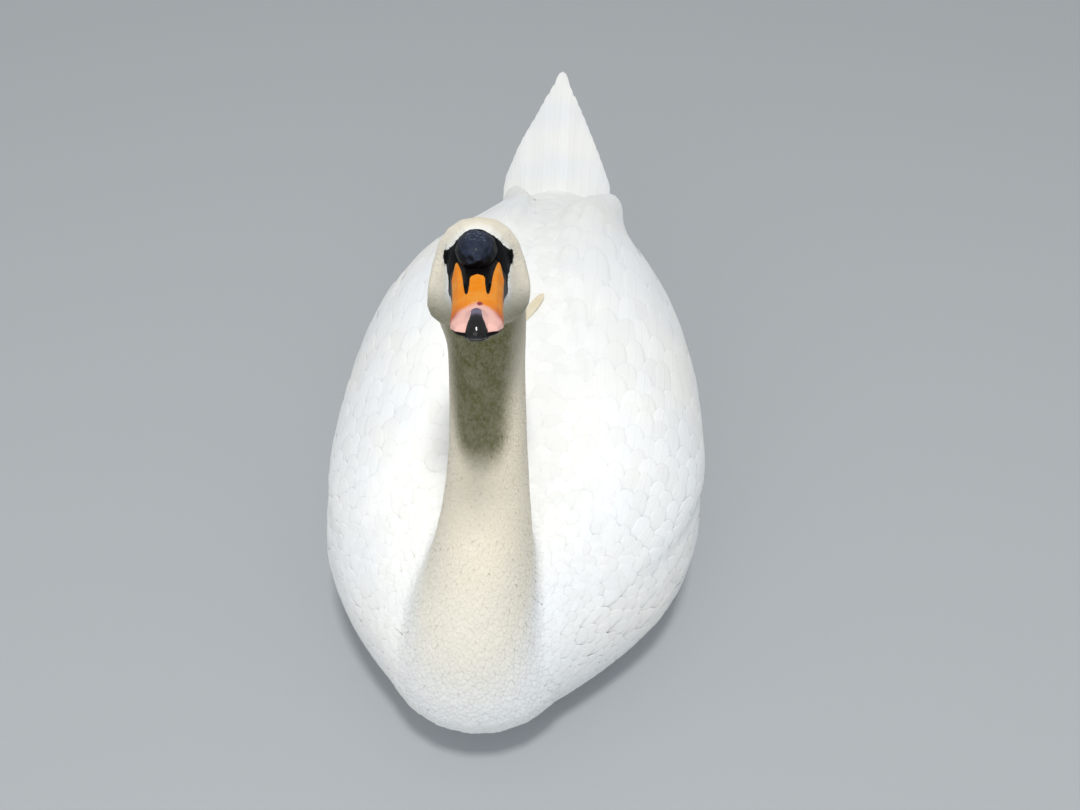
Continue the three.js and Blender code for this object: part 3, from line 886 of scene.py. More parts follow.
def shadeAsForm(piece, corners, sizes, onTop, lie):  # upper faces shade with the form, for a soft coat
    mesh = piece.data
    lie = lie + normalsOf(piece) * blades["faceShare"]
    own = np.empty(len(sizes) * 3)
    mesh.polygons.foreach_get("normal", own)
    mesh.normals_split_custom_set(unit(np.where(
        np.repeat(onTop, sizes)[:, None], lie[corners], np.repeat(own.reshape(-1, 3), sizes, axis=0),
    )))


def makeVanes(
    name, spine, up, widths, outline, heights, columns, bake, tints, thick, drape, cup, ragged=0.05,
):
    count, stations = spine.shape[:2]
    rings = stations - 1
    c = np.linspace(-1, 1, columns + 1)  # across the blade, from edge to edge
    half = widths[:, None] / 2 * outline[None, :rings]
    jitter = 1 + ragged * (dice.random((count, rings, columns + 1)) - 0.5) * np.abs(c) * 2
    out = (half[..., None] * c * jitter)[..., None]
    flat = spine[:, :rings, None] + sideWays(spine, up)[:, :rings, None] * out
    normals = np.repeat(up[:, :rings, None], columns + 1, axis=2)
    if drape:
        outer = np.abs(c) > 0.01
        places, found = nearestOn(flat[:, :, outer].reshape(-1, 3))
        flat[:, :, outer] = places.reshape(count, rings, -1, 3)
        normals[:, :, outer] = found.reshape(count, rings, -1, 3)
    drop = cup * half[..., None] * c ** 2 * 2
    body = flat + normals * (heights[:, :rings, None] - drop)[..., None]
    centre = spine + up * heights[..., None]
    keel = centre[:, :rings] - up[:, :rings] * (thick + cup * half)[..., None]
    points = np.concatenate([body.reshape(count, -1, 3), centre[:, rings:], keel], 1)
    points[..., 2] = np.maximum(points[..., 2], blades["lowest"])
    faces = bladeFaces(rings, columns)
    sizes = np.array([len(face) for face in faces])
    template = np.concatenate([np.array(face) for face in faces])
    t = np.linspace(0, 1, stations)
    acrossUv = np.concatenate([np.tile(c, rings), np.zeros(stations)]) / 2
    alongUv = np.concatenate([np.repeat(t[:rings], columns + 1), [1], t[:rings]]) - 0.5
    local = np.stack([acrossUv[template], alongUv[template]], 1)
    mesh, corners = vaneMesh(name, points, template, sizes, local, bake)
    piece = addObject(name, mesh)
    for key, values in zip(("cream", "buff", "oliveStainAndShadow", "tint"), (*markings(spine[:, 0]), tints)):
        setValues(piece, key, np.repeat(values, points.shape[1]))
    shadeSmooth(piece)
    lie = np.concatenate([normals.reshape(count, -1, 3), up[:, rings:], up[:, :rings]], 1).reshape(-1, 3)
    onTop = np.tile([max(face) <= rings * (columns + 1) for face in faces], count)
    sizes = np.tile(sizes, count)
    shadeAsForm(piece, corners, sizes, onTop, lie)
    print(name, count, "vanes,", int((sizes - 2).sum()), "triangles")
    return piece


def turned(ways, normals, angles):  # ways turned about the normals
    across = np.cross(normals, ways)
    return ways * np.cos(angles)[:, None] + across * np.sin(angles)[:, None]


bill = {
    "voxel": 0.7 * mm, "rounds": 3, "swell": 0.1 * mm,
    # black prongs round the nostrils, between an inner and an outer edge, in mm along the bill
    "innerAt": (45, 46, 46.9, 49, 58, 64, 67), "inner": (-3, 0, 3.8, 4.8, 5.1, 5.7, 6.8),
    "outerAt": (26, 28, 34, 40, 47, 58, 64, 67), "outer": (14.0, 13.5, 11.9, 10.5, 9.6, 8.6, 7.9, 6.8),
    "darkSideAt": (24, 26, 28.6, 32, 36, 46, 57, 65, 70, 100),
    "darkSide": (4, 2.4, -1.5, -6, -10.4, -16.2, -21.4, -25.5, -31, -45),
    # half width of the dark nail along the bill, and the dark front rim above its lower edge
    "nailAt": (91, 92.5, 95, 98.5, 102, 106, 110), "nailHalf": (-2, 2.2, 3.2, 3.4, 4.0, 6.8, 8.8),
    "rimAt": (86, 92, 99, 104.5, 107), "rimTop": (-32, -28.8, -28.2, -28.4, -28.6),
    "pinkFrom": 77, "pinkSpread": 0.74,
    "nostril": {"side": 7.3, "slant": 1.2, "start": 53, "end": 64, "half": 1.25, "deep": 1.5, "rim": 0.35},
    "nailProud": 0.35, "nailFrom": (88, 91), "nailTone": ((89, 92), (102, 97), (6, 3)),
    "gapeRise": 3.0, "gapeAside": (4, 13), "gapeAlong": (58, 84),
    "tip": ((92, 98), (7, 5)), "deep": ((72, 90), (6, 13)),  # mm forward, mm aside
    "cornerAside": (9, 15), "cornerAt": 88, "cornerLong": 5, "cornerShare": 0.8,
    "spotAt": (1.8, 79), "spotSpread": (2.1, 2.8),
    "orange": tone(226, 130, 16), "orangeDeep": tone(196, 98, 24), "orangePale": tone(226, 146, 50),
    "pink": tone(228, 180, 170), "red": tone(180, 62, 48), "spot": tone(142, 58, 66),
    "black": tone(5, 5, 7), "blackWarm": tone(15, 11, 11),
    "nail": tone(98, 90, 114), "edge": tone(198, 172, 166),
}


def hornPattern(head):  # distance in mm into the black, and into the pink
    aside, forward, up = np.abs(head[:, 0]), head[:, 1], head[:, 2]
    inner = np.interp(forward, bill["innerAt"], bill["inner"])
    outer = np.interp(forward, bill["outerAt"], bill["outer"])
    prong = np.minimum(aside - inner, outer - aside)
    side = np.interp(forward, bill["darkSideAt"], bill["darkSide"]) - up
    nail = np.interp(forward, bill["nailAt"], bill["nailHalf"]) - aside
    rim = np.where(forward > 85, np.interp(forward, bill["rimAt"], bill["rimTop"]) - up, -9)
    black = np.maximum.reduce([prong, side, nail, rim])
    pink = forward - bill["pinkFrom"] - bill["pinkSpread"] * aside
    return black, pink


def carveNostrils(points, normals):
    head, slit = toHead(points), bill["nostril"]
    along = (head[:, 1] - slit["start"]) / (slit["end"] - slit["start"])
    width = slit["half"] * np.sqrt(np.clip(1 - (2 * along - 1) ** 2, 0, 1))
    away = np.abs(np.abs(head[:, 0]) - slit["side"] - (0.5 - along) * slit["slant"])
    onTop = normals @ np.array(crownWay) > 0.1
    pit = np.where(onTop & (width > 0.1), ramp(1, 0.35, away / np.maximum(width, 0.1)), 0)
    rim = np.where(onTop & (width > 0.1), np.exp(-((away - width - 0.5) / 0.5) ** 2), 0)
    return points + normals * ((rim * slit["rim"] - pit * slit["deep"]) * mm)[:, None]


def paintHorn(name, lower=False):
    shader = Shader(name, Specular_IOR_Level=0.14, Coat_Roughness=0.12)
    place = shader.objectPlace()
    fine = shader.noise(place, 850, detail=4, roughness=0.6)
    broad = shader.noise(place, 120, detail=3)
    wander = (broad - 0.5) * 0.8 + (fine - 0.5) * 0.5
    black = (shader.attribute("black") + wander).step(-0.25, 0.25)
    pink = (shader.attribute("pink") + wander * 6).step(-3, 5)
    orange = shader.mix(broad.step(0.35, 0.7), bill["orange"], bill["orangePale"])
    orange = shader.mix(shader.attribute("deep") + (fine - 0.5) * 0.3, orange, bill["orangeDeep"])
    rosy = shader.mix(shader.attribute("corner"), bill["pink"], bill["red"])
    color = shader.mix(pink, orange, rosy)
    dark = shader.mix(fine, bill["black"], bill["blackWarm"])
    dark = shader.mix(shader.attribute("nail"), dark, bill["nail"])
    color = shader.mix(black, color, dark)
    color = shader.mix(shader.attribute("rim"), color, bill["edge"] if lower else bill["black"])
    color = shader.mix((shader.attribute("spot") + (fine - 0.5) * 0.9).step(0.3, 0.7), color, bill["spot"])
    shader.set("Base Color", color)
    tip = shader.attribute("tip")
    shader.set("Roughness", 0.36 + fine * 0.14 - tip * 0.2)
    shader.set("Coat Weight", 0.02 + tip * 0.7)
    shader.bump(fine * 0.5 + broad, 0.35, 0.35 * mm)
    return shader.material


knobShape = {
    # the glow tone is a painted bluish sheen on the knob, and the pale bluish tone after it is painted glints
    # on its top
    "voxel": 0.55 * mm, "rounds": 3, "swell": 0.1 * mm, "color": tone(5, 6, 9), "glow": tone(42, 50, 68),
    "paintedGlint": tone(112, 124, 150), "grain": 260, "relief": 0.7 * mm,
    "dimples": 26, "dimpleWide": 2.1, "dimpleDeep": 0.36,
    "aside": -0.9, "wider": 1.1, "forward": 1.2,  # mm, and shares about its middle
}


def paintDark(name, color, glow, scale, depth, rough=0.36):
    shader = Shader(name, Specular_IOR_Level=0.12, Coat_Weight=0.03, Coat_Roughness=0.1)
    place = shader.objectPlace()
    grain = shader.noise(place, scale, detail=4, roughness=0.6)
    # painted glints and a painted sheen from the knob's own attributes; the claws carry neither
    paintedGlintMask = shader.noise(place, scale * 2.2, detail=2).step(0.52, 0.68) * shader.attribute("paintedGlint")
    paintedSheen = shader.mix(grain * shader.attribute("paintedSheen"), color, glow)
    shader.set("Base Color", shader.mix(paintedGlintMask, paintedSheen, knobShape["paintedGlint"]))
    shader.set("Roughness", rough + grain * 0.18)
    shader.bump(grain, 0.5, depth)
    return shader.material


def makeHorn(name, nodes, material):
    piece = soften(copyOf(name, nodes), bill["voxel"], bill["rounds"], swell=bill["swell"])
    points, normals = pointsOf(piece), normalsOf(piece)
    upper = name == "upperBill"
    if upper:
        points = carveNostrils(points, normals)
    head = toHead(points)
    aside, forward = np.abs(head[:, 0]), head[:, 1].copy()
    black, pink = hornPattern(head)
    if upper:  # the nail stands a little proud
        inside = np.interp(forward, bill["nailAt"], bill["nailHalf"]) - aside
        nail = ramp(-0.7, 0.4, inside) * ramp(*bill["nailFrom"], forward)
        points = points + normals * (bill["nailProud"] * nail * mm)[:, None]
    else:  # thin at the corners of the gape
        head[:, 2] += bill["gapeRise"] * ramp(*bill["gapeAside"], aside) * ramp(*bill["gapeAlong"], forward)
        points = fromHead(head)
        black = np.full(len(black), 9.0)
    setPoints(piece, points)
    facingUp = normalsOf(piece) @ headAxes[2]
    start, end, half = bill["nailTone"]
    corner = np.exp(-((forward - bill["cornerAt"]) / bill["cornerLong"]) ** 2) * bill["cornerShare"]
    spot = ((head[:, :2] - bill["spotAt"]) / bill["spotSpread"]) ** 2
    for key, values in {
        "black": black, "pink": pink,
        "nail": ramp(*start, forward) * ramp(*end, forward) * ramp(*half, aside),
        "tip": ramp(*bill["tip"][0], forward) * ramp(*bill["tip"][1], aside),
        "deep": ramp(*bill["deep"][0], forward) * ramp(*bill["deep"][1], aside),
        "corner": ramp(*bill["cornerAside"], aside) * corner,
        "spot": np.exp(-spot.sum(1)) * upper,
        "rim": ramp(-0.35, -0.8, facingUp) if upper else ramp(0.55, 0.8, facingUp) * ramp(40, 60, forward),
    }.items():
        setValues(piece, key, values)
    shadeSmooth(piece)
    finishPiece(piece, material, nodes)


makeHorn("upperBill", ["bill_upper", "bill_nail"], paintHorn("upperBillPaint"))
makeHorn("lowerBill", ["bill_lower"], paintHorn("lowerBillPaint", lower=True))


def makeKnob():
    knob = copyOf("billKnob", ["knob"])
    piece = soften(knob, knobShape["voxel"], knobShape["rounds"], swell=knobShape["swell"])
    points, normals = pointsOf(piece), normalsOf(piece)
    seeds = points[dice.integers(0, len(points), knobShape["dimples"])]
    push = np.zeros(len(points))
    for seed in seeds:
        away = np.linalg.norm(points - seed, axis=1) / mm / knobShape["dimpleWide"]
        push += np.exp(-away ** 2) - 0.55 * np.exp(-(away - 1.5) ** 2 / 0.3)
    points = points - normals * (np.clip(push, -1, 1.4) * knobShape["dimpleDeep"] * mm)[:, None]
    head = toHead(points)
    middle = (head.min(0) + head.max(0)) / 2
    head[:, 0] = (head[:, 0] - middle[0]) * knobShape["wider"] + middle[0] + knobShape["aside"]
    ahead = np.maximum(head[:, 1] - middle[1], 0)
    head[:, 1] += ahead * (knobShape["forward"] - 1)
    setPoints(piece, fromHead(head))
    facing = normalsOf(piece) @ headAxes.T
    # painted glints where the knob faces up, and a painted bluish sheen where it faces forward and up, black
    # towards its sides and root
    setValues(piece, "paintedGlint", ramp(0.5, 0.85, facing[:, 2] - 0.3 * facing[:, 1]) * 0.7)
    setValues(piece, "paintedSheen", ramp(0.35, 0.9, facing @ np.array((0, 0.75, 0.66))) * 1.6)
    shadeSmooth(piece)
    looks = (knobShape[key] for key in ("color", "glow", "grain", "relief"))
    finishPiece(piece, paintDark("knobPaint", *looks), ["knob"])


makeKnob()


def makeEye(side):
    deselectAll()
    bpy.ops.mesh.primitive_uv_sphere_add(segments=48, ring_count=24, radius=eyeShape["radius"] * mm)
    eye = bpy.context.object
    eye.name = f"{side}Eye"
    sign = 1 if side == "left" else -1
    place = fromHead([[sign * eyeShape["side"], eyeShape["forward"], 0]])[0]
    eye.data.transform(Matrix.Translation(place))
    bpy.ops.object.shade_smooth()
    finishPiece(eye, eyePaint, [f"eye_{side}"])


def paintEye():
    shader = Shader("eyePaint", Roughness=0.06, Specular_IOR_Level=0.6, Coat_Weight=1.0, Coat_Roughness=0.02)
    grain = shader.noise(shader.objectPlace(), 700, detail=3)
    shader.set("Base Color", shader.mix(grain, tone(20, 14, 11), tone(40, 28, 20)))
    return shader.material


eyePaint = paintEye()
for side in ("left", "right"):
    makeEye(side)


feet = {
    "voxel": 1.05 * mm, "rounds": 3, "swell": 0.8 * mm,
    "color": tone(44, 45, 50), "glow": tone(78, 78, 82), "scale": 330,
    "aside": 74, "ball": 40, "toes": ((20, 112, 10), (3, 142, 11), (-12, 122, 10)),  # degrees, length, claw
    "clawRadius": 3.3, "clawTip": 0.8, "clawHeight": 3.2, "clawHook": 1.6, "clawCuts": 3, "clawAngle": 50,
    "clawColor": tone(20, 20, 22), "clawGlow": tone(38, 36, 36),
    "toeWide": 9, "underClaw": 2,  # mm beside the toe's line, and past its end
}


def paintFeet():
    shader = Shader("footPaint", Specular_IOR_Level=0.4)
    place = shader.objectPlace()
    values = {"Vector": place, "Scale": feet["scale"]}
    seams = shader.node("ShaderNodeTexVoronoi", {"feature": "DISTANCE_TO_EDGE"}, values).step(0.0, 0.14)
    grain = shader.noise(place, 200, detail=4)
    shader.set("Base Color", shader.mix(seams * grain, feet["color"], feet["glow"]))
    shader.set("Roughness", 0.62 - grain * 0.2)
    shader.bump(seams, 0.5, 0.5 * mm)
    return shader.material


def makeFoot(side):
    foot = soften(copyOf(f"{side}Foot", legNodes[side]), feet["voxel"], feet["rounds"], swell=feet["swell"])
    points = pointsOf(foot)
    points[:, 2] = np.maximum(points[:, 2], 0)
    setPoints(foot, trimToes(points, side))
    shadeSmooth(foot)
    finishPiece(foot, footPaint, legNodes[side])


def toeEnd(side, turn, long):  # the place where the claw starts, and the way that it points
    sign = 1 if side == "left" else -1
    angle = sign * math.radians(turn)
    way = Vector((math.sin(angle), -math.cos(angle), 0))
    return fromBird(sign * feet["aside"], feet["ball"], 0) + way * long * mm, way


def trimToes(points, side):  # the skin of each toe ends inside its claw
    for turn, long, _ in feet["toes"]:
        end, way = toeEnd(side, turn, long)
        gap = points - np.array(end)
        past = gap @ np.array(way)
        aside = np.linalg.norm(gap[:, :2] - past[:, None] * np.array(way)[:2], axis=1)
        over = np.where(aside < feet["toeWide"] * mm, np.maximum(past - feet["underClaw"] * mm, 0), 0)
        points = points - over[:, None] * np.array(way)
    return points


def makeClaws(side):
    claws = []
    for turn, long, claw in feet["toes"]:
        end, way = toeEnd(side, turn, long)
        deselectAll()
        bpy.ops.mesh.primitive_cone_add(
            vertices=16, radius1=feet["clawRadius"] * mm, radius2=feet["clawTip"] * mm, depth=(claw + 2) * mm,
        )
        cone = bpy.context.object
        editAll(bpy.ops.mesh.subdivide, number_cuts=feet["clawCuts"])
        place = end + way * (claw / 2) * mm + Vector((0, 0, feet["clawHeight"] * mm))
        cone.data.transform(Matrix.Translation(place) @ way.to_track_quat("Z", "Y").to_matrix().to_4x4())
        points = pointsOf(cone)
        along = (points - np.array(end)) @ np.array(way) / mm / claw
        points[:, 2] -= feet["clawHook"] * mm * np.clip(along, 0, 1.2) ** 2  # hooked down at the tip
        points[:, 2] = np.maximum(points[:, 2], 0.05 * mm)
        setPoints(cone, points)
        claws.append(cone)
    pick(*claws)
    bpy.ops.object.join()
    piece = bpy.context.object
    piece.name = f"{side}Claws"
    bpy.ops.object.shade_smooth_by_angle(angle=math.radians(feet["clawAngle"]))
    finishPiece(piece, clawPaint)


footPaint = paintFeet()
clawPaint = paintDark("clawPaint", feet["clawColor"], feet["clawGlow"], 500, 0.2 * mm, rough=0.3)
for side in legNodes:
    makeFoot(side)
    makeClaws(side)
print("bill, knob, eyes and feet made")


coat = {
    # height in mm against the length of the tufts on neck and breast, and the room between them
    "heights": (0, 60, 150, 230, 330, 440, 520), "lengths": (20, 20, 18, 14, 9, 6.5, 5.2),
    "rooms": (3.2, 3.2, 2.9, 2.3, 1.55, 1.25, 1.1),
    # the same on the head, by distance from its middle
    "headReaches": (0, 30, 45, 62, 80), "headLengths": (2.8, 3.2, 3.8, 4.8, 5.2),
    "headRooms": (0.87, 0.9, 0.94, 1.03, 1.05), "headBlend": (78, 56), "headEnd": 66,
    # along the trunk, in bird mm
    "trunkAt": (-340, -280, -200, -60, 100, 300, 420, 500), "trunkLengths": (26, 31, 37, 42, 42, 46, 40, 18),
    "trunkRooms": (5.5, 7.0, 8.5, 9.5, 9.5, 9.5, 8.5, 4.5),
    "besideNeck": 0.5, "besideReach": (4, 60), "neckBefore": -120,  # smaller feathers close to the neck
    # where belly, flanks, back and vent part: slopes, places along the bird in mm, and the top in metres
    "underside": -0.1, "upperside": 0.55, "ventSlope": 0.3, "rear": 276, "backEnd": 318, "ventEnd": 484,
    "trunkTop": 0.34, "ventDense": 0.8, "faceEnd": 27, "neckFront": 20,
}
trunkMiddle = {
    # sideways shift of the trunk's middle and height of its widest place, along the bird
    "at": (-338, -256, -200, -130, -40, 40, 110, 180, 235, 284), "shift": (-6, -2, 5, 11, 8, 3, 2, 4, 6, 7),
    "widest": (112, 128, 132, 136, 140, 146, 156, 172, 190, 204),
}
wings = {
    # place along the bird against the lowest and highest angle of the wing, seen from behind
    "at": (-260, -224, -190, -130, -40, 40, 110, 180, 230, 260, 284),
    "low": (36, 27, 22, 18, 13, 9, 6, 4, 4, 7, 12), "high": (40, 48, 60, 69, 77, 81, 82, 80, 70, 54, 36),
    "front": -262, "end": 262,
    "tip": (280, 24), "behindTip": 0.06, "tipRoom": 56,
    "rowsFrom": -262, "rowsTo": 236, "rowStep": 0.36, "overlap": 0.5, "radius": 170, "unevenness": 3,
    "lengthAt": (-270, -200, -120, -60, 0, 60, 120, 170, 210, 236),
    "lengths": (26, 36, 52, 78, 108, 122, 122, 108, 82, 60),
    "wideAt": (26, 52, 110), "wides": (20, 32, 38), "rings": 10, "columns": 6,
}
tail = {
    # the fan's sideways shift, half width, top and lower edge, along the bird
    "at": (275.3, 300, 340, 390, 440, 485, 508), "shift": (6, 4, 0, -5, -8, -12, -14),
    "half": (69, 66, 57.5, 45, 28.5, 14.5, 3.5), "top": (232, 231, 231, 233, 236, 239, 241),
    "bottom": (154, 171, 188, 206, 221, 232, 237.5),
    "feathers": 24, "tipBack": 516, "tipSpread": 178, "rootAt": 262, "rootShift": 6, "rootSpread": 58,
    "edge": 5, "wide": 27, "point": 5.5, "lower": 1.2, "pile": 2.2, "rings": 12, "columns": 8,
}


def valuesAt(table, along, *keys):
    return [np.interp(along, table["at"], table[key]) for key in keys]


def wingPart(points, grow=0.0):  # whether each place lies under the folded wings
    place = inBird(points)
    middle, widest = valuesAt(trunkMiddle, place[:, 1], "shift", "widest")
    angle = np.degrees(np.arctan2(place[:, 2] - widest, np.abs(place[:, 0] - middle)))
    low, high = valuesAt(wings, place[:, 1], "low", "high")
    along = (place[:, 1] > wings["front"] - grow * 2) & (place[:, 1] < wings["end"])
    return along & (angle > low - grow) & (angle < high + grow)


def shares(rings):  # rings along a blade, closer together towards the tip
    return 1 - (1 - np.arange(rings + 1) / rings) ** 1.6


def featherOutline(t, point):
    return (t + 0.12) ** 0.45 * np.sqrt(np.clip(1 - t ** point, 0, 1))


bladeStyle = {
    "wander": 6, "point": 3.2,  # degrees off the lie, and how blunt the end is
    "lift": 0.012, "tuck": 0.014, "sink": 0.13,  # shares of the length: tip up, tip's end down, root down
    "cup": 0.02, "thick": 0.25, "drape": True,  # edges down, mm, edges laid on the form
}


def layFeathers(name, roots, lengths, wides, rings, columns, ways=None, **style):
    style = bladeStyle | style
    places, normals = nearestOn(roots)
    if ways is None:
        ways = lieAt(places, normals)
    ways = turned(ways, normals, np.radians(dice.normal(0, style["wander"], len(roots))))
    lengths = lengths * dice.uniform(0.88, 1.12, len(roots))
    wides = wides * dice.uniform(0.9, 1.1, len(roots))
    t = shares(rings)
    spine, up = walk(places, ways, lengths, t)
    sink = np.minimum(coatDepth(places) * 0.95, lengths * style["sink"])[:, None]
    tips = (lengths * style["lift"] * dice.uniform(0.4, 1.6, len(roots)))[:, None]
    heights = -sink * (1 - t) ** 2 + tips * t - lengths[:, None] * style["tuck"] * t ** 5
    return makeVanes(
        name, spine, up, wides, featherOutline(t, style["point"]), heights, columns, bakePlace(places),
        dice.random(len(roots)), style["thick"] * mm, style["drape"], style["cup"],
    )


def neckSizes(points):  # lengths of the tufts and the room between them, in metres
    reach = headDistance(points)
    near = ramp(*coat["headBlend"], reach)
    sizes = []
    for onNeck, onHead in (("lengths", "headLengths"), ("rooms", "headRooms")):
        size = np.interp(points[:, 2] / mm, coat["heights"], coat[onNeck])
        sizes.append((size + (np.interp(reach, coat["headReaches"], coat[onHead]) - size) * near) * mm)
    return sizes


def trunkSizes(points):
    along = inBird(points)[:, 1]
    beside = np.full(len(along), 99.0)
    front = along < coat["neckBefore"]
    if front.any():
        beside[front] = gapTo(neckSurface, points[front])
    small = coat["besideNeck"] + (1 - coat["besideNeck"]) * ramp(*coat["besideReach"], beside)
    tables = coat["trunkLengths"], coat["trunkRooms"]
    return [np.interp(along, coat["trunkAt"], table) * small * mm for table in tables]


def headRoom(points, normals):
    head = toHead(points)
    use = (fromHeadMiddle(head) < coat["headEnd"]) & (barePart(head) <= 0.5)
    return np.where(use & (head[:, 1] < coat["faceEnd"]), neckSizes(points)[1], 0)


def neckRoom(low, high):
    def room(points, normals):
        height, head = points[:, 2] / mm, toHead(points)
        use = (fromHeadMiddle(head) >= coat["headEnd"]) & (head[:, 1] < coat["neckFront"])
        use &= (neckPart(points) > 0.5) & (height >= low) & (height < high)
        return np.where(use, neckSizes(points)[1], 0)
    return room


def trunkRoom(part):
    def room(points, normals):
        along, slope = inBird(points)[:, 1], normals[:, 2]
        behind = along > coat["rear"]
        under, over = slope < coat["underside"], slope >= coat["upperside"]
        use = {
            "belly": under & ~behind, "flank": ~under & ~over & ~behind,
            "back": over & (along < coat["backEnd"]),
            "vent": behind & (slope < coat["ventSlope"]) & (along < coat["ventEnd"]),
        }[part] & (neckPart(points) <= 0.5) & ~wingPart(points, -3) & (points[:, 2] < coat["trunkTop"])
        return np.where(use, trunkSizes(points)[1] * (coat["ventDense"] if part == "vent" else 1), 0)
    return room


barbLines = {"count": 70, "slant": 16, "depth": 0.35, "shaft": 0.035, "relief": 0.5 * mm}
plain = paintCoat("plumage", None)
barbed = paintCoat("flightPlumage", barbLines)

tuft = {"point": 2.2, "wander": 7, "lift": 0.02, "cup": 0.06, "drape": False, "thick": 0.1, "tuck": 0.01}
flat = {**tuft, "lift": 0.012, "cup": 0.03, "thick": 0.08}
broad = {"point": 2.4, "wander": 7, "lift": 0.02, "thick": 0.16, "cup": 0.04}
close = {"wander": 5, "lift": 0.009, "thick": 0.18}
coatPieces = (  # name, form, room, sizes, rings, columns, width as a share of the length, slot, style
    ("headTufts", headSurface, headRoom, neckSizes, 2, 2, 0.55, "head_feathers", flat),
    ("neckTufts", bodySurface, neckRoom(330, 700), neckSizes, 2, 2, 0.55, "neck_feathers", tuft),
    ("lowerNeckTufts", bodySurface, neckRoom(170, 330), neckSizes, 3, 3, 0.46, "neck_feathers", broad),
    ("breastTufts", bodySurface, neckRoom(-20, 170), neckSizes, 3, 3, 0.5, "body_feathers", broad),
    ("bellyFeathers", bodySurface, trunkRoom("belly"), trunkSizes, 5, 4, 0.72, "body_feathers", close),
    ("flankFeathers", bodySurface, trunkRoom("flank"), trunkSizes, 7, 5, 0.72, "body_feathers", close),
    ("backFeathers", bodySurface, trunkRoom("back"), trunkSizes, 7, 5, 0.72, "body_feathers", close),
    ("ventFeathers", bodySurface, trunkRoom("vent"), trunkSizes, 6, 4, 0.72, "body_feathers", close),
)
for name, surface, room, sizes, rings, columns, wide, slot, style in coatPieces:
    roots = scatter(surface, room)
    lengths, _ = sizes(roots)
    finishPiece(layFeathers(name, roots, lengths, lengths * wide, rings, columns, **style), plain)


stray = {"root": (3, -37, 250), "way": (0.42, 0.9, 0), "length": 48 * mm, "wide": 11 * mm, "buff": 0.7}


def makeStray():  # one stained feather lies loose on the back
    root, way = np.array([fromBird(*stray["root"])]), np.array([stray["way"]])
    ways = flattened(way, nearestOn(root)[1])
    piece = layFeathers(
        "strayFeather", root, np.array([stray["length"]]), np.array([stray["wide"]]), 9, 6,
        ways=ways, wander=0, lift=0.09, sink=0.02, thick=0.4,
    )
    values = np.full(len(piece.data.vertices), stray["buff"], np.float32)
    piece.data.attributes["buff"].data.foreach_set("value", values)
    finishPiece(piece, barbed)


makeStray()


def wingPlace(along, angle, sign):
    shift, widest = valuesAt(trunkMiddle, along, "shift", "widest")
    way = Vector((sign * math.cos(math.radians(angle)), 0, math.sin(math.radians(angle))))
    return bodySurface.hit(fromBird(shift, along, widest), way)


def wingRoots(sign):  # rows from the shoulder to the tip, every other row half a feather along
    found = []
    along, odd = wings["rowsFrom"], False
    while along < wings["rowsTo"]:
        length = np.interp(along, wings["lengthAt"], wings["lengths"])
        wide = np.interp(length, wings["wideAt"], wings["wides"])
        low, high = valuesAt(wings, along, "low", "high")
        arc = math.radians(high - low) * wings["radius"]
        count = max(2, round(arc / wide / (1 - wings["overlap"])))
        for index in range(count + 1):
            angle = low + (high - low) * min((index + 0.5 * odd) / count, 1)
            place = wingPlace(along + dice.uniform(-wings["unevenness"], wings["unevenness"]), angle, sign)
            if place:
                found.append((*place, length * mm, wide * mm))
        along += length * wings["rowStep"]
        odd = not odd
    found = np.array(found)
    return found[:, :3], found[:, 3], found[:, 4]


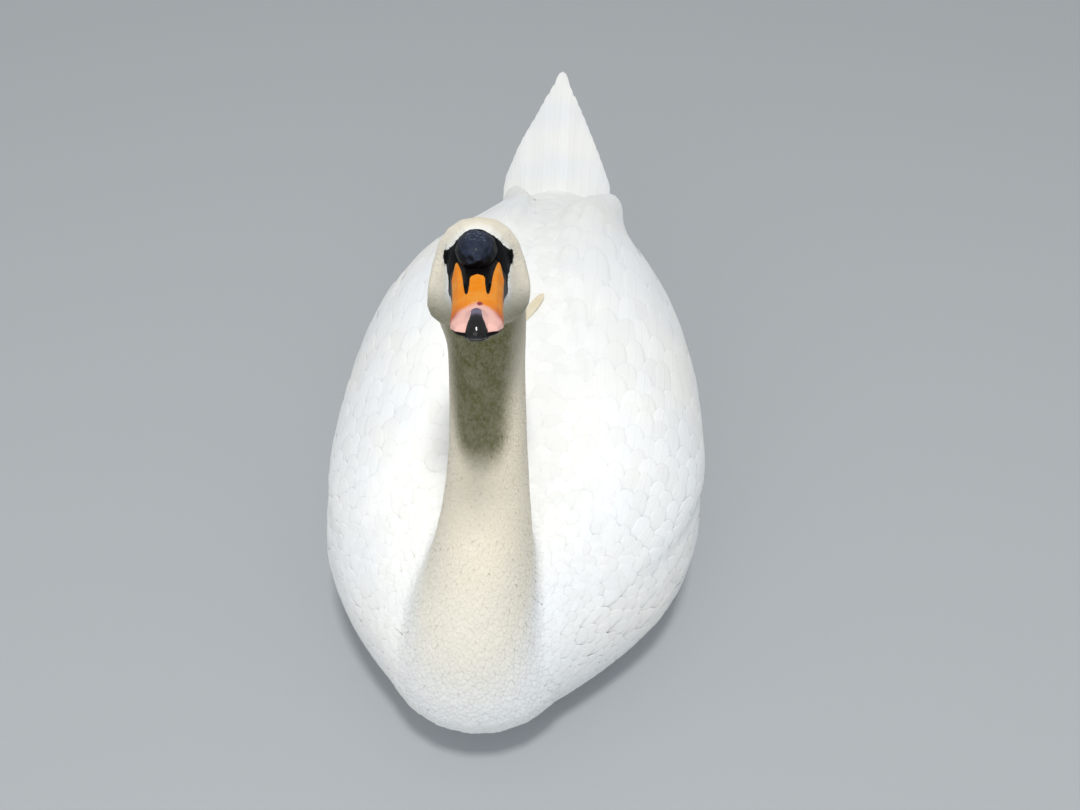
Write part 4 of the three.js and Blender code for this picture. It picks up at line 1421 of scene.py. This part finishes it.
def makeWing(side, sign):
    roots, lengths, wides = wingRoots(sign)
    target = np.array(wingPlace(*wings["tip"], sign)) + np.array((0, wings["behindTip"], 0))
    places, normals = nearestOn(roots)
    lengths = np.minimum(lengths, np.linalg.norm(target - places, axis=1) - wings["tipRoom"] * mm)
    ways = flattened(target - places, normals)
    behind = inBird(places)[:, 1] + lengths / mm > wings["end"]
    style = {"wander": 1.5, "lift": 0.009, "point": 3.0, "thick": 0.5, "tuck": 0.008}
    for group, name, slot, nodes in (
        (~behind, f"{side}WingFeathers", "body_feathers", ()),
        (behind, f"{side}Primaries", "flight_feathers", [f"wing_{side}_primaries"]),
    ):
        piece = layFeathers(
            name, places[group], lengths[group], wides[group], wings["rings"], wings["columns"],
            ways=ways[group], **style,
        )
        finishPiece(piece, barbed, nodes)


makeWing("left", 1)
makeWing("right", -1)


def tailTop(x, y):  # height of the fan in bird mm
    shift, half, top, bottom = valuesAt(tail, y, "shift", "half", "top", "bottom")
    aside = np.clip((x - shift) / (half + 1), -1, 1)
    return top - (top - bottom) / 2 * (1 - np.sqrt(1 - 0.97 * aside ** 2))


def makeTail():  # a fan from the sides inward, the middle feathers on top
    count = tail["feathers"]
    aside = np.linspace(-1, 1, count)
    aside = aside[np.argsort(-np.abs(aside))]
    outward = np.maximum(np.abs(aside) - 1 / (count - 1), 0)
    tipY = tail["tipBack"] - tail["tipSpread"] * outward ** 0.8
    shift, half = valuesAt(tail, tipY, "shift", "half")
    tipX = shift + np.sign(aside) * np.maximum(half - tail["edge"], 0)
    rootX = tail["rootShift"] + aside * tail["rootSpread"]
    t = shares(tail["rings"])
    x = rootX[:, None] + (tipX - rootX)[:, None] * t
    y = tail["rootAt"] + (tipY - tail["rootAt"])[:, None] * t
    z = tailTop(x, y) - tail["lower"] + tail["pile"] * (1 - np.abs(aside))[:, None] * (0.4 + 0.6 * t)
    spine = np.stack([x, y, z], 2) * mm + np.array(birdShift)
    slope = (tailTop(x + 1, y) - tailTop(x - 1, y)) / 2
    up = unit(np.stack([-slope, np.zeros_like(slope), np.ones_like(slope)], 2))
    piece = makeVanes(
        "tailFeathers", spine, up, np.full(count, tail["wide"] * mm), featherOutline(t, tail["point"]),
        np.zeros_like(slope), tail["columns"], bakePlace(spine[:, 0]), dice.random(count), 0.7 * mm,
        drape=False, cup=0.05, ragged=0.03,
    )
    finishPiece(piece, barbed, ["tail"])


makeTail()
print("coat laid")


for helper in (coatForm, headForm):
    bpy.data.objects.remove(helper)
